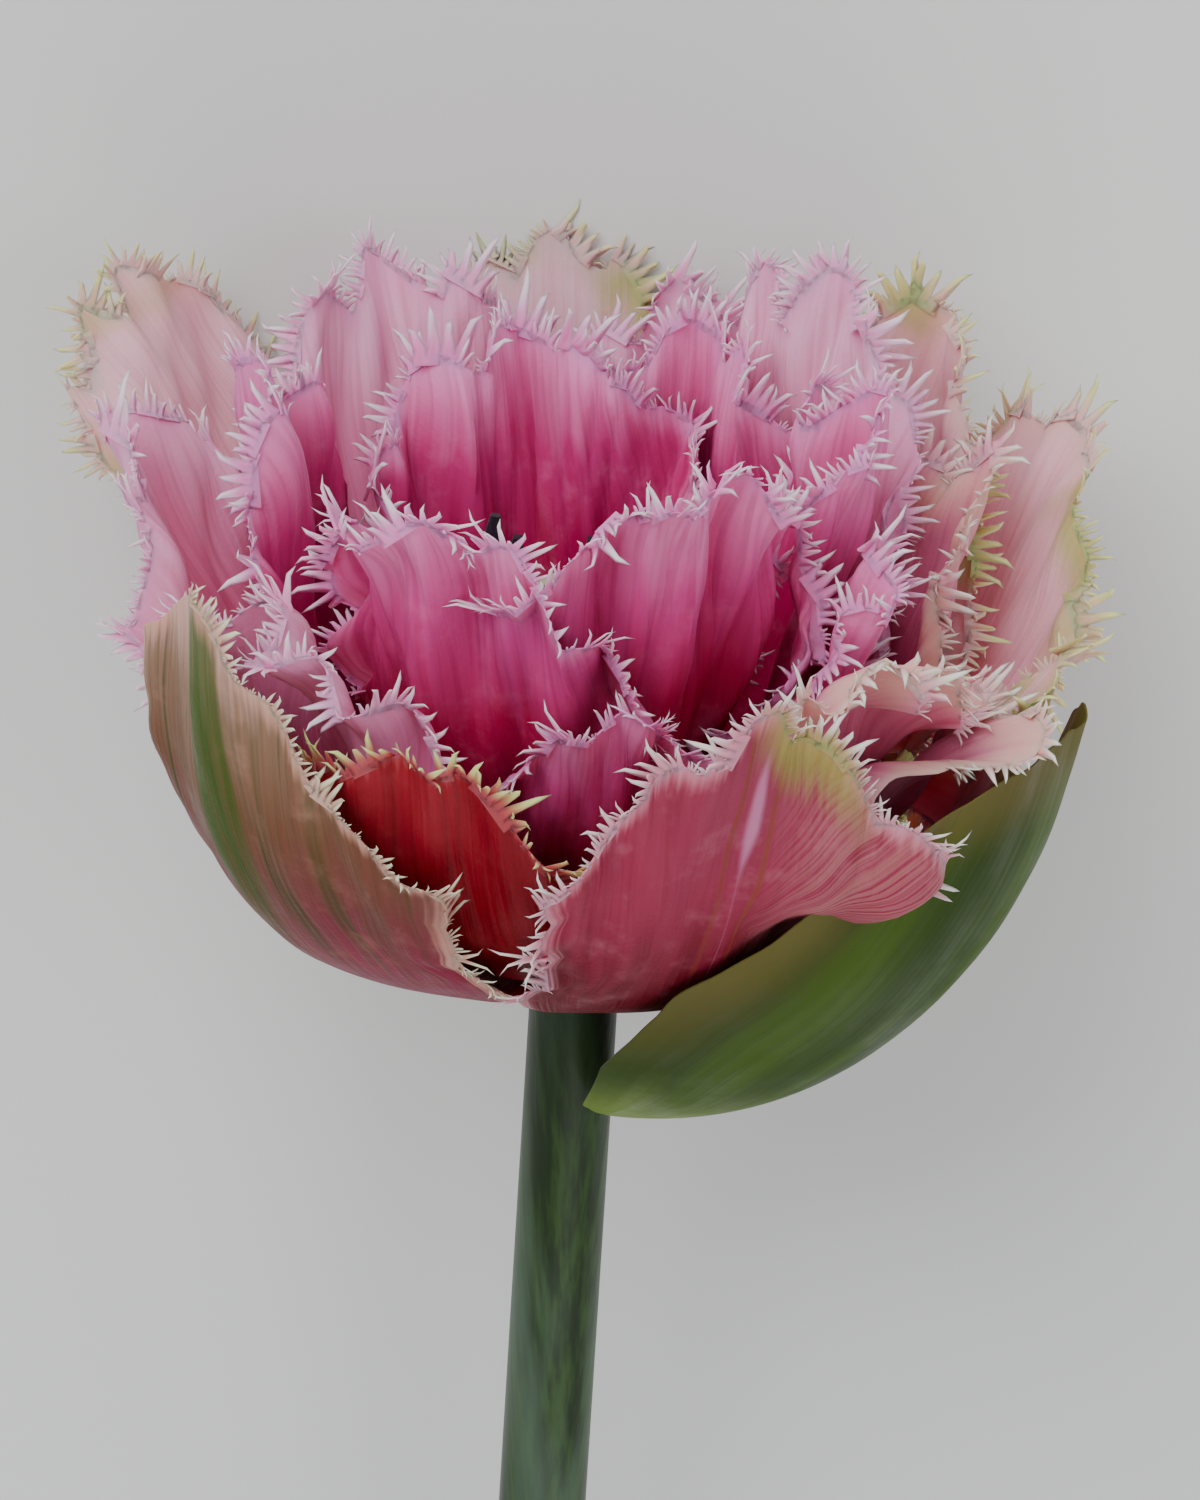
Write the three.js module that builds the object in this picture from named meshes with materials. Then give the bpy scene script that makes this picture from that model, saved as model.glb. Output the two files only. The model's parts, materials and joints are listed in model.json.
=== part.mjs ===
// Double fringed tulip: one cut stem with its bloom, bract and two leaves, lying on its side.
// Millimetres, +Z up. The stem runs along Y with the bloom at +Y, and everything rests on Z = 0.
import * as THREE from "three";

// ---- driving dimensions ----
const BLADE = 0.65; // thickness of every petal, bract and leaf
const FIT_GAP = 0.3; // gap between pieces that touch
const BLOOM_AT = [6.3, 105.3, 35.2]; // centre of the receptacle, where the outer petals leave it
const BLOOM_RISE = 9; // degrees the bloom's axis points up from the surface
const STEM_TOP_RADIUS = 4.1;
const STEM_CUT_RADIUS = 4.5;
const STEM_CUT_AT = [-8.7, -166.7]; // X and Y of the cut end
const STEM_SIDES = 16;
const STEM_STEPS = 22;
const RECEPTACLE_RADIUS = 5.4;
const TOOTH = 3.1; // length of a fringe tooth
const KEEL_TOOTH = 1.8; // on the keeled petal
const BRACT_TOOTH = 1; // on the bract, along its top only
const PETAL_COLUMNS = 10;
const PETAL_ROWS = 7;
const FRINGE_FROM = 0.4; // share of a petal's side below which its margin is plain
const SIDE_CLEARANCE = 3.6; // room that a fringed side leaves to the next petal of its ring
const SETTLE = 1.6; // height over which what lies on the surface flattens
const REST_HEIGHT = BLADE / 2; // middle of a blade that lies on the surface

// Side lines of the cup: distance from the axis and height, for the innermost and outermost petals.
const INNER_LINE = [[2.6, 7.5], [9, 13], [18, 28], [19, 52]];
const OUTER_LINE = [[5.8, 0], [28, 0], [43.5, 15], [43, 44]];
const BRACT_LINE = [[4.85, -17.5], [20, -16.5], [43, -3], [46.5, 28]];
const BRACT_LAYER = 1.16;

// One row for each petal:
// azimuth (degrees, 0 faces front, + to the right), layer (0 innermost, 1 outermost),
// half widths left and right (mm), height of the left and right shoulders (share of the length),
// roundness of the top, length (share of the cup's side), extra opening (mm), swing of the tip (degrees),
// ruffle (mm), waves across, phase of the waves, keel (mm), tip curled outward (mm).
const PETALS = {
  front: [18, 1.0, 20, 20, 0.78, 0.68, 1.3, 0.955, 0, 4, 0.8, 2, 0.5, 2, 0],
  left_keel: [-50, 1.0, 13, 27, 0.9, 0.66, 1.1, 1.03, -3, 0, 0.8, 2, 0, 5, 0],
  right: [116, 1.0, 17.5, 20, 0.8, 0.78, 2.6, 0.95, 9, 0, 1.0, 2, 1, 0, 0],
  back: [-176, 1.0, 19, 12, 0.65, 0.6, 2.2, 1.05, 2, 0, 0.6, 2, 2, 0, 0],
  right_tip: [77, 1.0, 15, 13, 0.72, 0.7, 1.4, 0.87, -1, 0, 0.5, 2, 1, 0, 3],
  back_left: [-146, 0.84, 11.5, 14, 0.8, 0.92, 2.6, 1.07, 9, 16, 1.2, 2, 0, 0, 0],
  front_left: [-25, 0.84, 20, 19, 0.7, 0.68, 2.2, 0.86, -3, 4, 0.8, 3, 1.2, 0, 0],
  back_right: [137, 0.84, 18, 18, 0.65, 0.65, 2.4, 0.99, 1.5, 0, 1.0, 3, 0.4, 0, 0],
  front_right: [60, 0.68, 18, 18, 0.74, 0.7, 2.2, 0.83, 6, 2, 0.8, 3, 2.2, 0, 0],
  side_right: [108, 0.68, 15, 15, 0.65, 0.65, 2.4, 0.92, 3, 2, 1.0, 2, 0.4, 4, 0],
  side_left: [-102, 0.68, 20, 20, 0.78, 0.74, 2.4, 0.99, 4, 0, 1.2, 3, 0.4, 0, 0],
  back_middle: [164, 0.68, 18, 18, 0.65, 0.65, 2.2, 1.05, 2.5, 0, 0.8, 2, 0.6, 0, 0],
  rolled: [38, 0.52, 19, 16, 0.72, 0.75, 2.2, 0.92, 5, 8, 1.0, 3, 0.4, 0, 0],
  inner_left: [-48, 0.52, 18, 18, 0.88, 0.65, 2.0, 0.93, 0, 4, 1.0, 3, 0.4, 0, 0],
  inner_back: [-150, 0.52, 18, 19, 0.75, 0.75, 3.0, 1.05, 2, 0, 1.3, 3, 0.4, 0, 0],
  back_inner_right: [137, 0.52, 17, 17, 0.78, 0.78, 3.0, 1.06, 1, 0, 1.3, 3, 0.4, 0, 0],
  inner_front: [8, 0.36, 12, 14, 0.75, 0.75, 2.4, 0.79, 1, 0, 1.1, 3, 0.4, 0, 0],
  inner_right: [70, 0.36, 14, 14, 0.7, 0.7, 2.4, 0.89, 1, 0, 1.0, 3, 0.4, 0, 0],
  cup_left: [-98, 0.36, 15, 15, 0.75, 0.75, 2.6, 1.04, -1, 0, 1.3, 3, 0.4, 0, 0],
  cup_back: [154, 0.36, 16, 16, 0.75, 0.75, 3.0, 0.97, 0, 0, 1.3, 3, 0.4, 0, 0],
  heart_left: [-30, 0.2, 13, 18, 0.88, 0.72, 2.6, 0.97, 0, 0, 1.2, 3, 0.4, 0, 0],
  cup_right: [98, 0.2, 14, 14, 0.75, 0.75, 2.6, 1.0, 1, 0, 1.3, 3, 0.4, 0, 0],
  heart_front: [34, 0.04, 19, 13, 0.82, 0.82, 3.0, 0.95, 0, 0, 1.2, 3, 1.4, 0, 0],
  heart_back: [-166, 0.04, 17, 17, 0.8, 0.8, 3.0, 0.95, 4, 0, 1.2, 3, 0.4, 0, 0],
};
const BRACT = [62, BRACT_LAYER, 30, 20, 0.78, 0.8, 1.5, 1, 0, 14, 0.5, 2, 0, 0, 0];

const STAMEN_AZIMUTHS = [-80, -20, 45, 105, 165, -135];
const STAMEN_HEIGHTS = [41, 37.5, 36.5, 38, 38.5, 37];
const ANTHER_LENGTH = 14;
const ANTHER_RADIUS = 1.3;
const FILAMENT_RADIUS = 0.5;

// Each leaf: the line of its midrib from the stem to the tip, the side of the stem it clasps,
// half width, height of the edge waves.
const LEAVES = {
  leaf_left: {
    side: -1,
    clasps_at: 0.8,
    line: [[-17, -84, 6], [-50, -52, -1.4], [-56, 18, -1.4]],
    half: 20,
    waves: 2.2,
  },
  leaf_right: {
    side: 1,
    clasps_at: 0.66,
    line: [[9, -48, 9], [46, -30, -1.4], [58, 22, -1.4]],
    half: 16,
    waves: 1.8,
  },
};
const LEAF_CLASP = 1.25; // radians that a leaf's base wraps round the stem on each side

const COLOURS = {
  outer: "#c65f74",
  keel: "#a58a72",
  middle: "#cf6f93",
  inner: "#c24a88",
  bract: "#567038",
  stem: "#3f5a38",
  leaf: "#5b7560",
  pistil: "#b9c08a",
  stamen: "#22141f",
};

// ---- small helpers ----
const radians = (degrees) => (degrees * Math.PI) / 180;
const clamp = (value, low, high) => Math.min(Math.max(value, low), high);
const mix = (a, b, share) => a + (b - a) * share;
const smooth = (value) => {
  const q = clamp(value, 0, 1);
  return q * q * (3 - 2 * q);
};
const scatter = (n) => {
  const q = Math.sin(n * 12.9898 + 4.137) * 43758.5453;
  return q - Math.floor(q);
};

function bezier(points, s) {
  const r = 1 - s;
  const weights = [r * r * r, 3 * r * r * s, 3 * r * s * s, s * s * s];
  return points[0].map((_, k) => points.reduce((sum, point, i) => sum + weights[i] * point[k], 0));
}

function named(row) {
  const [azimuth, layer, left, right, lowLeft, lowRight, point, length, lean, skew] = row;
  const [ruffle, waves, phase, keel, curl] = row.slice(10);
  return {
    azimuth, layer, left, right, lowLeft, lowRight, point, length, lean, skew,
    ruffle, waves, phase, keel, curl,
  };
}

// ---- frames ----
const RISE_COS = Math.cos(radians(BLOOM_RISE));
const RISE_SIN = Math.sin(radians(BLOOM_RISE));

// From the flower's own frame (right, up its axis, front) to the part's frame.
function toPart(right, up, front) {
  return new THREE.Vector3(
    BLOOM_AT[0] + right,
    BLOOM_AT[1] + up * RISE_COS - front * RISE_SIN,
    BLOOM_AT[2] + up * RISE_SIN + front * RISE_COS,
  );
}

// What would sink into the surface lies flat on it instead.
function settle(point) {
  const height = point.z - REST_HEIGHT;
  if (height < -SETTLE) {
    point.z = REST_HEIGHT;
  } else if (height < SETTLE) {
    point.z = REST_HEIGHT + (height + SETTLE) ** 2 / (4 * SETTLE);
  }
  return point;
}

// ---- blades: petals, bract and leaves ----
function sideLine(petal, s, t) {
  const inner = bezier(INNER_LINE, s);
  const outer = bezier(OUTER_LINE, s);
  const cup = [0, 1].map((k) => mix(inner[k], outer[k], petal.layer));
  if (petal.layer !== BRACT_LAYER) {
    return cup;
  }
  const bract = bezier(BRACT_LINE, s);
  const hug = Math.abs(t) ** 1.5 * Math.min(s / 0.5, 1) * 0.85;
  return [0, 1].map((k) => mix(bract[k], cup[k], hug));
}

// How far a petal may spread to each side before it meets the next one of its own ring.
function sectors(rows) {
  const petals = Object.entries(rows).map(([name, row]) => [name, named(row)]);
  const result = {};
  for (const [name, petal] of petals) {
    const room = { left: Math.PI, right: Math.PI };
    for (const [other, next] of petals) {
      if (other === name || next.layer !== petal.layer) {
        continue;
      }
      const toRight = radians((((next.azimuth - petal.azimuth) % 360) + 360) % 360);
      const toLeft = 2 * Math.PI - toRight;
      room.right = Math.min(room.right, (toRight * petal.right) / (petal.right + next.left));
      room.left = Math.min(room.left, (toLeft * petal.left) / (petal.left + next.right));
    }
    result[name] = room;
  }
  return result;
}

// Middle face of a petal: t runs across (-1..1), v from the base to the margin (0..1).
function petalPoint(petal, room, t, v) {
  const low = t < 0 ? petal.lowLeft : petal.lowRight;
  const half = t < 0 ? petal.left : petal.right;
  const space = t < 0 ? room.left : room.right;
  const s = v * petal.length * (1 - (1 - low) * Math.abs(t) ** petal.point);
  const [radius, height] = sideLine(petal, s, t);
  const [nextRadius, nextHeight] = sideLine(petal, s + 0.001, t);
  const step = Math.hypot(nextRadius - radius, nextHeight - height);
  const outward = (nextHeight - height) / step;
  const downward = (nextRadius - radius) / step;
  const rim = v * v * (0.3 + 0.7 * Math.abs(t));
  const wave = Math.sin(Math.PI * petal.waves * t + petal.phase + 2.2 * v);
  const keel = petal.keel * s * (1 - s * 0.4) * (0.5 - Math.abs(t));
  const curl = petal.curl * clamp((v - 0.78) / 0.22, 0, 1) ** 2 * (1 - t * t);
  const push = petal.ruffle * rim * wave + keel + curl;
  const r = radius + petal.lean * s ** 3 + push * outward;
  const up = height - push * downward;
  const width = 2.2 + (half - 2.2) * Math.sin((Math.PI / 2) * Math.min(s / 0.55, 1));
  const opening = Math.max(radius + petal.lean * s ** 3, 1);
  const clearance = mix(0.55, SIDE_CLEARANCE, smooth((v - 0.3) / 0.12));
  const spread = Math.min(width / opening, space - clearance / opening, 1);
  const azimuth = radians(petal.azimuth + petal.skew * s * s) + t * spread;
  return settle(toPart(r * Math.sin(azimuth), up, r * Math.cos(azimuth)));
}

function faceNormal(surface, t, v) {
  const e = 0.004;
  const across = surface(t + e, v).sub(surface(t - e, v));
  const along = surface(t, v + e).sub(surface(t, v - e));
  return across.cross(along).normalize();
}

// A tooth of the fringe stands on the margin between two of its points.
function toothTip(from, to, inside, number, length) {
  const foot = from.clone().add(to).multiplyScalar(0.5);
  const edge = to.clone().sub(from).normalize();
  const out = foot.clone().sub(inside);
  out.addScaledVector(edge, -out.dot(edge)).normalize();
  const reach = length * (0.7 + 0.5 * scatter(number));
  const tip = foot.addScaledVector(out, reach);
  tip.addScaledVector(edge, (scatter(number + 50) - 0.5) * 1.2);
  tip.z = Math.max(tip.z, REST_HEIGHT);
  return tip;
}

// A thin closed solid round a middle face, cut alike on both sides, with an optional fringe.
function bladeSolid(surface, columns, rows, fringe) {
  const points = [];
  const normals = [];
  const triangles = [];
  const add = (point, normal) => {
    points.push(point);
    normals.push(normal);
    return points.length - 1;
  };
  const grid = [];
  for (let i = 0; i <= rows; i += 1) {
    const count = i === rows && fringe ? columns * 2 : columns;
    const line = [];
    for (let j = 0; j <= count; j += 1) {
      const t = -1 + (2 * j) / count;
      line.push(add(surface(t, i / rows), faceNormal(surface, t, i / rows)));
    }
    grid.push(line);
  }
  for (let i = 0; i < rows; i += 1) {
    const lower = grid[i];
    const upper = grid[i + 1];
    for (let j = 0; j < columns; j += 1) {
      if (upper.length > lower.length) {
        triangles.push([lower[j], lower[j + 1], upper[2 * j + 1]]);
        triangles.push([lower[j], upper[2 * j + 1], upper[2 * j]]);
        triangles.push([lower[j + 1], upper[2 * j + 2], upper[2 * j + 1]]);
      } else {
        triangles.push([lower[j], lower[j + 1], upper[j + 1]]);
        triangles.push([lower[j], upper[j + 1], upper[j]]);
      }
    }
  }
  if (fringe) {
    const tooth = (from, to, inside) => {
      const number = triangles.length + fringe.seed;
      const tip = toothTip(points[from], points[to], points[inside], number, fringe.length);
      const normal = normals[from].clone().add(normals[to]).normalize();
      triangles.push([from, to, add(tip, normal)]);
    };
    const top = grid[rows];
    for (let k = 0; k + 1 < top.length; k += 1) {
      tooth(top[k], top[k + 1], grid[rows - 1][Math.round(k / 2)]);
    }
    for (let i = 1; i < rows; i += 1) {
      if (fringe.sides && i / rows >= FRINGE_FROM) {
        tooth(grid[i][0], grid[i + 1][0], grid[i][1]);
        tooth(grid[i + 1].at(-1), grid[i].at(-1), grid[i].at(-2));
      }
    }
  }
  return thicken(points, normals, triangles);
}

function thicken(points, normals, triangles) {
  const count = points.length;
  const position = [];
  for (const side of [1, -1]) {
    points.forEach((point, i) => {
      const moved = point.clone().addScaledVector(normals[i], (side * BLADE) / 2);
      position.push(moved.x, moved.y, Math.max(moved.z, 0));
    });
  }
  const index = [];
  const edges = new Set();
  for (const [a, b, c] of triangles) {
    index.push(a, b, c, a + count, c + count, b + count);
    edges.add(`${a} ${b}`).add(`${b} ${c}`).add(`${c} ${a}`);
  }
  for (const edge of edges) {
    const [a, b] = edge.split(" ").map(Number);
    if (!edges.has(`${b} ${a}`)) {
      index.push(b, a, a + count, b, a + count, b + count);
    }
  }
  return solid(position, index);
}

function solid(position, index) {
  const geometry = new THREE.BufferGeometry();
  geometry.setAttribute("position", new THREE.Float32BufferAttribute(position, 3));
  geometry.setIndex(index);
  geometry.computeVertexNormals();
  return geometry;
}

// ---- round pieces: stem, pistil and stamens ----
// Rings of the given radii stand square on a line of centres, with flat ends.
function ringSolid(centres, radii, sides, shape = () => 1) {
  const position = [];
  const index = [];
  const last = centres.length - 1;
  let across = null;
  centres.forEach((centre, i) => {
    const ahead = centres[Math.min(i + 1, last)];
    const behind = centres[Math.max(i - 1, 0)];
    const along = ahead.clone().sub(behind).normalize();
    if (across === null) {
      across = Math.abs(along.x) < 0.9 ? new THREE.Vector3(1, 0, 0) : new THREE.Vector3(0, 1, 0);
    }
    across.addScaledVector(along, -across.dot(along)).normalize();
    const other = along.clone().cross(across);
    for (let k = 0; k < sides; k += 1) {
      const angle = (2 * Math.PI * k) / sides;
      const r = radii[i] * shape(angle, i / last);
      const point = centre.clone();
      point.addScaledVector(across, r * Math.cos(angle));
      point.addScaledVector(other, r * Math.sin(angle));
      position.push(point.x, point.y, point.z);
    }
  });
  for (let i = 0; i < last; i += 1) {
    for (let k = 0; k < sides; k += 1) {
      const a = i * sides + k;
      const b = i * sides + ((k + 1) % sides);
      index.push(a, b, b + sides, a, b + sides, a + sides);
    }
  }
  const first = centres[0];
  const end = centres[last];
  position.push(first.x, first.y, first.z, end.x, end.y, end.z);
  const hub = centres.length * sides;
  for (let k = 0; k < sides; k += 1) {
    const next = (k + 1) % sides;
    index.push(hub, next, k);
    index.push(hub + 1, last * sides + k, last * sides + next);
  }
  return solid(position, index);
}

// Line of the stem from the neck under the bloom (0) to the cut end (1).
const NECK = -9;
function stemCentre(share) {
  const neck = toPart(0, NECK, 0);
  const down = toPart(-4.5, NECK - 80, 0);
  const cut = [...STEM_CUT_AT, STEM_CUT_RADIUS];
  const line = [neck.toArray(), down.toArray(), [cut[0] + 5, cut[1] + 90, cut[2] + 1.2], cut];
  return new THREE.Vector3(...bezier(line, share));
}

function stemAndReceptacle() {
  const profile = [
    [8.6, 1.5], [8.2, 1.9], [7.3, 2.2], [3.6, 3.75], [-0.1, 5.3],
    [-0.9, RECEPTACLE_RADIUS], [-2.6, 4.9], [-5.5, STEM_TOP_RADIUS + 0.1],
  ];
  const centres = profile.map(([up]) => toPart(0, up, 0));
  const radii = profile.map(([, radius]) => radius);
  for (let i = 0; i <= STEM_STEPS; i += 1) {
    const share = i / STEM_STEPS;
    centres.push(stemCentre(share));
    radii.push(mix(STEM_TOP_RADIUS, STEM_CUT_RADIUS, share));
  }
  return ringSolid(centres, radii, STEM_SIDES);
}

function pistil() {
  const profile = [
    [8.95, 1.1], [10, 1.4], [13, 2.5], [18, 3.1], [25, 2.9], [30, 2.3], [31.5, 2.9], [33, 4.0], [34, 3.2],
  ];
  const centres = profile.map(([up]) => toPart(0, up, 0));
  const radii = profile.map(([, radius]) => radius);
  const lobes = (angle, share) => 1 + (share > 0.8 ? 0.24 : 0.06) * Math.cos(3 * angle);
  return ringSolid(centres, radii, 12, lobes);
}

function stamen(azimuth, number) {
  const top = STAMEN_HEIGHTS[number];
  const base = top - ANTHER_LENGTH;
  const profile = [
    [9.0, 2.05, FILAMENT_RADIUS], [14, 5.0, FILAMENT_RADIUS], [20, 6.6, FILAMENT_RADIUS],
    [base, 7.6, FILAMENT_RADIUS], [base + 1, 7.7, ANTHER_RADIUS * 0.85],
    [base + 5, 7.8, ANTHER_RADIUS], [top - 3, 7.4, ANTHER_RADIUS * 0.8], [top, 6.9, 0.5],
  ];
  const turn = radians(azimuth);
  const centres = profile.map(([up, out]) => toPart(out * Math.sin(turn), up, out * Math.cos(turn)));
  return ringSolid(centres, profile.map((row) => row[2]), 6);
}

// ---- leaves ----
// t runs across (-1..1) and v from the base round the stem to the tip on the surface (0..1).
function leafPoint(leaf, t, v) {
  const axis = stemCentre(leaf.clasps_at);
  const stemRadius = mix(STEM_TOP_RADIUS, STEM_CUT_RADIUS, leaf.clasps_at);
  const clasp = stemRadius + FIT_GAP + BLADE / 2;
  const start = [axis.x + leaf.side * clasp, axis.y, axis.z];
  const line = [start, ...leaf.line];
  const middle = new THREE.Vector3(...bezier(line, v));
  const along = new THREE.Vector3(...bezier(line, v + 0.002)).sub(middle).normalize();
  const stemWay = stemCentre(leaf.clasps_at - 0.02).sub(axis).normalize();
  const lie = smooth(v / 0.5);
  along.lerp(stemWay, 1 - smooth(v / 0.12)).normalize();
  const normal = new THREE.Vector3(leaf.side * (1 - lie), 0, -lie);
  normal.addScaledVector(along, -normal.dot(along)).normalize();
  const across = along.clone().cross(normal).normalize();
  const taper = v < 0.35 ? 1 : Math.max(1 - ((v - 0.35) / 0.65) ** 2, 0.02);
  const half = mix(clasp * LEAF_CLASP, leaf.half, Math.sin((Math.PI / 2) * clamp(v / 0.4, 0, 1))) * taper;
  const bend = 1 / mix(1 / clasp, 1 / 34, smooth(v / 0.3));
  const turn = (t * half) / bend;
  const wave = leaf.waves * t * t * smooth(v / 0.4) * taper * Math.sin(9 * v + (t > 0 ? 0 : 2) + 1);
  const lift = bend * (1 - Math.cos(turn)) + wave;
  middle.addScaledVector(across, bend * Math.sin(turn));
  middle.addScaledVector(normal, -lift);
  return settle(middle);
}

// ---- assembly ----
const part = new THREE.Group();
part.name = "fringed_tulip";

function addPiece(name, geometry, colour) {
  const material = new THREE.MeshStandardMaterial({ color: colour, roughness: 0.6 });
  const mesh = new THREE.Mesh(geometry, material);
  mesh.name = name;
  part.add(mesh);
}

addPiece("stem", stemAndReceptacle(), COLOURS.stem);

const rooms = sectors(PETALS);
Object.entries(PETALS).forEach(([name, row], i) => {
  const petal = named(row);
  const surface = (t, v) => petalPoint(petal, rooms[name], t, v);
  const fringe = { length: name === "left_keel" ? KEEL_TOOTH : TOOTH, sides: true, seed: 100 * i };
  let colour = petal.layer > 0.8 ? COLOURS.outer : COLOURS.middle;
  if (petal.layer < 0.4) {
    colour = COLOURS.inner;
  }
  if (name === "left_keel") {
    colour = COLOURS.keel;
  }
  addPiece(`petal_${name}`, bladeSolid(surface, PETAL_COLUMNS, PETAL_ROWS, fringe), colour);
});

const bract = named(BRACT);
const bractRoom = { left: Math.PI, right: Math.PI };
const bractSurface = (t, v) => petalPoint(bract, bractRoom, t, v);
const bractFringe = { length: BRACT_TOOTH, sides: false, seed: 7000 };
addPiece("bract", bladeSolid(bractSurface, PETAL_COLUMNS, PETAL_ROWS + 2, bractFringe), COLOURS.bract);

addPiece("pistil", pistil(), COLOURS.pistil);
STAMEN_AZIMUTHS.forEach((azimuth, i) => {
  addPiece(`stamen_${i + 1}`, stamen(azimuth, i), COLOURS.stamen);
});
for (const [name, leaf] of Object.entries(LEAVES)) {
  const surface = (t, v) => leafPoint(leaf, t, v);
  addPiece(name, bladeSolid(surface, 8, 18, null), COLOURS.leaf);
}

export default part;
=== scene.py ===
import json
import math

import bmesh
import bpy
import numpy as np
from mathutils import Matrix, Vector

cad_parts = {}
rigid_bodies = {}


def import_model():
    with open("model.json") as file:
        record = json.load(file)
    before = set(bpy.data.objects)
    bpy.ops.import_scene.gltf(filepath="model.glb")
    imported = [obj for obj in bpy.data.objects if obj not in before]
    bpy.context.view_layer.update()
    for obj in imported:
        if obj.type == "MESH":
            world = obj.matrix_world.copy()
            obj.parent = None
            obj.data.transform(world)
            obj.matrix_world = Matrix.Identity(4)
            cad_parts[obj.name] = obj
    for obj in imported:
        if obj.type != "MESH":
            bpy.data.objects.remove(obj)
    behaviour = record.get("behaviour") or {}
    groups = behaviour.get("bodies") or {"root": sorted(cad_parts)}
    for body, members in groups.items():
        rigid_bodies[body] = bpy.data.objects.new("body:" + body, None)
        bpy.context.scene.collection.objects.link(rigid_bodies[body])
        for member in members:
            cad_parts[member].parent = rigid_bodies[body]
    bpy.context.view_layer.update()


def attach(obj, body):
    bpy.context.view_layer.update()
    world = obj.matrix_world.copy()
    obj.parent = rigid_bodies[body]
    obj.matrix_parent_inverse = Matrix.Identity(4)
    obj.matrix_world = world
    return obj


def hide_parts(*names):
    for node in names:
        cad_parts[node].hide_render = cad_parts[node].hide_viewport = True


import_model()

# ---- sizes of the flower, in millimetres ----
MM = 0.001
BLADE = 0.65
SHOWN_BLADE = 0.55
LEAF_BLADE = 0.62
THIN_EDGE = 0.3
EDGE_TAPER = 3
LOWEST = 0.02
REST_HEIGHT = BLADE / 2
SOFT_LANDING = 0.4
FIT_GAP = 0.3
BLOOM_AT = (6.3, 105.3, 35.2)
BLOOM_RISE = math.radians(9)
STEM_TOP_RADIUS = 4.1
STEM_CUT_RADIUS = 4.5
STEM_CUT_AT = (-8.7, -166.7)
STEM_NEAR_CUT = (5, 90, 1.2)
STEM_UNDER_NECK = (-4.5, -89, 0)
NECK = -9
# Between these heights, in millimetres, the stem is painted darker: painted shade under the bloom.
NECK_SHADE = (70, 104)
FRINGE_FROM = 0.4
SIDE_CLEARANCE = 3.6
FOOT_CLEARANCE = 0.55
FOOT_HALF = 2.2
WIDEST_AT = 0.55
TOP_FROM = 0.78
SIDE_FROM = 0.72
SETTLE = 1.6

INNER_LINE = ((2.6, 7.5), (9, 13), (18, 28), (19, 52))
OUTER_LINE = ((5.8, 0), (28, 0), (43.5, 15), (43, 44))
BRACT_LINE = ((4.85, -17.5), (20, -16.5), (43, -3), (46.5, 28))
BRACT_LAYER = 1.16
BRACT_CLOSE = 1.06

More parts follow.
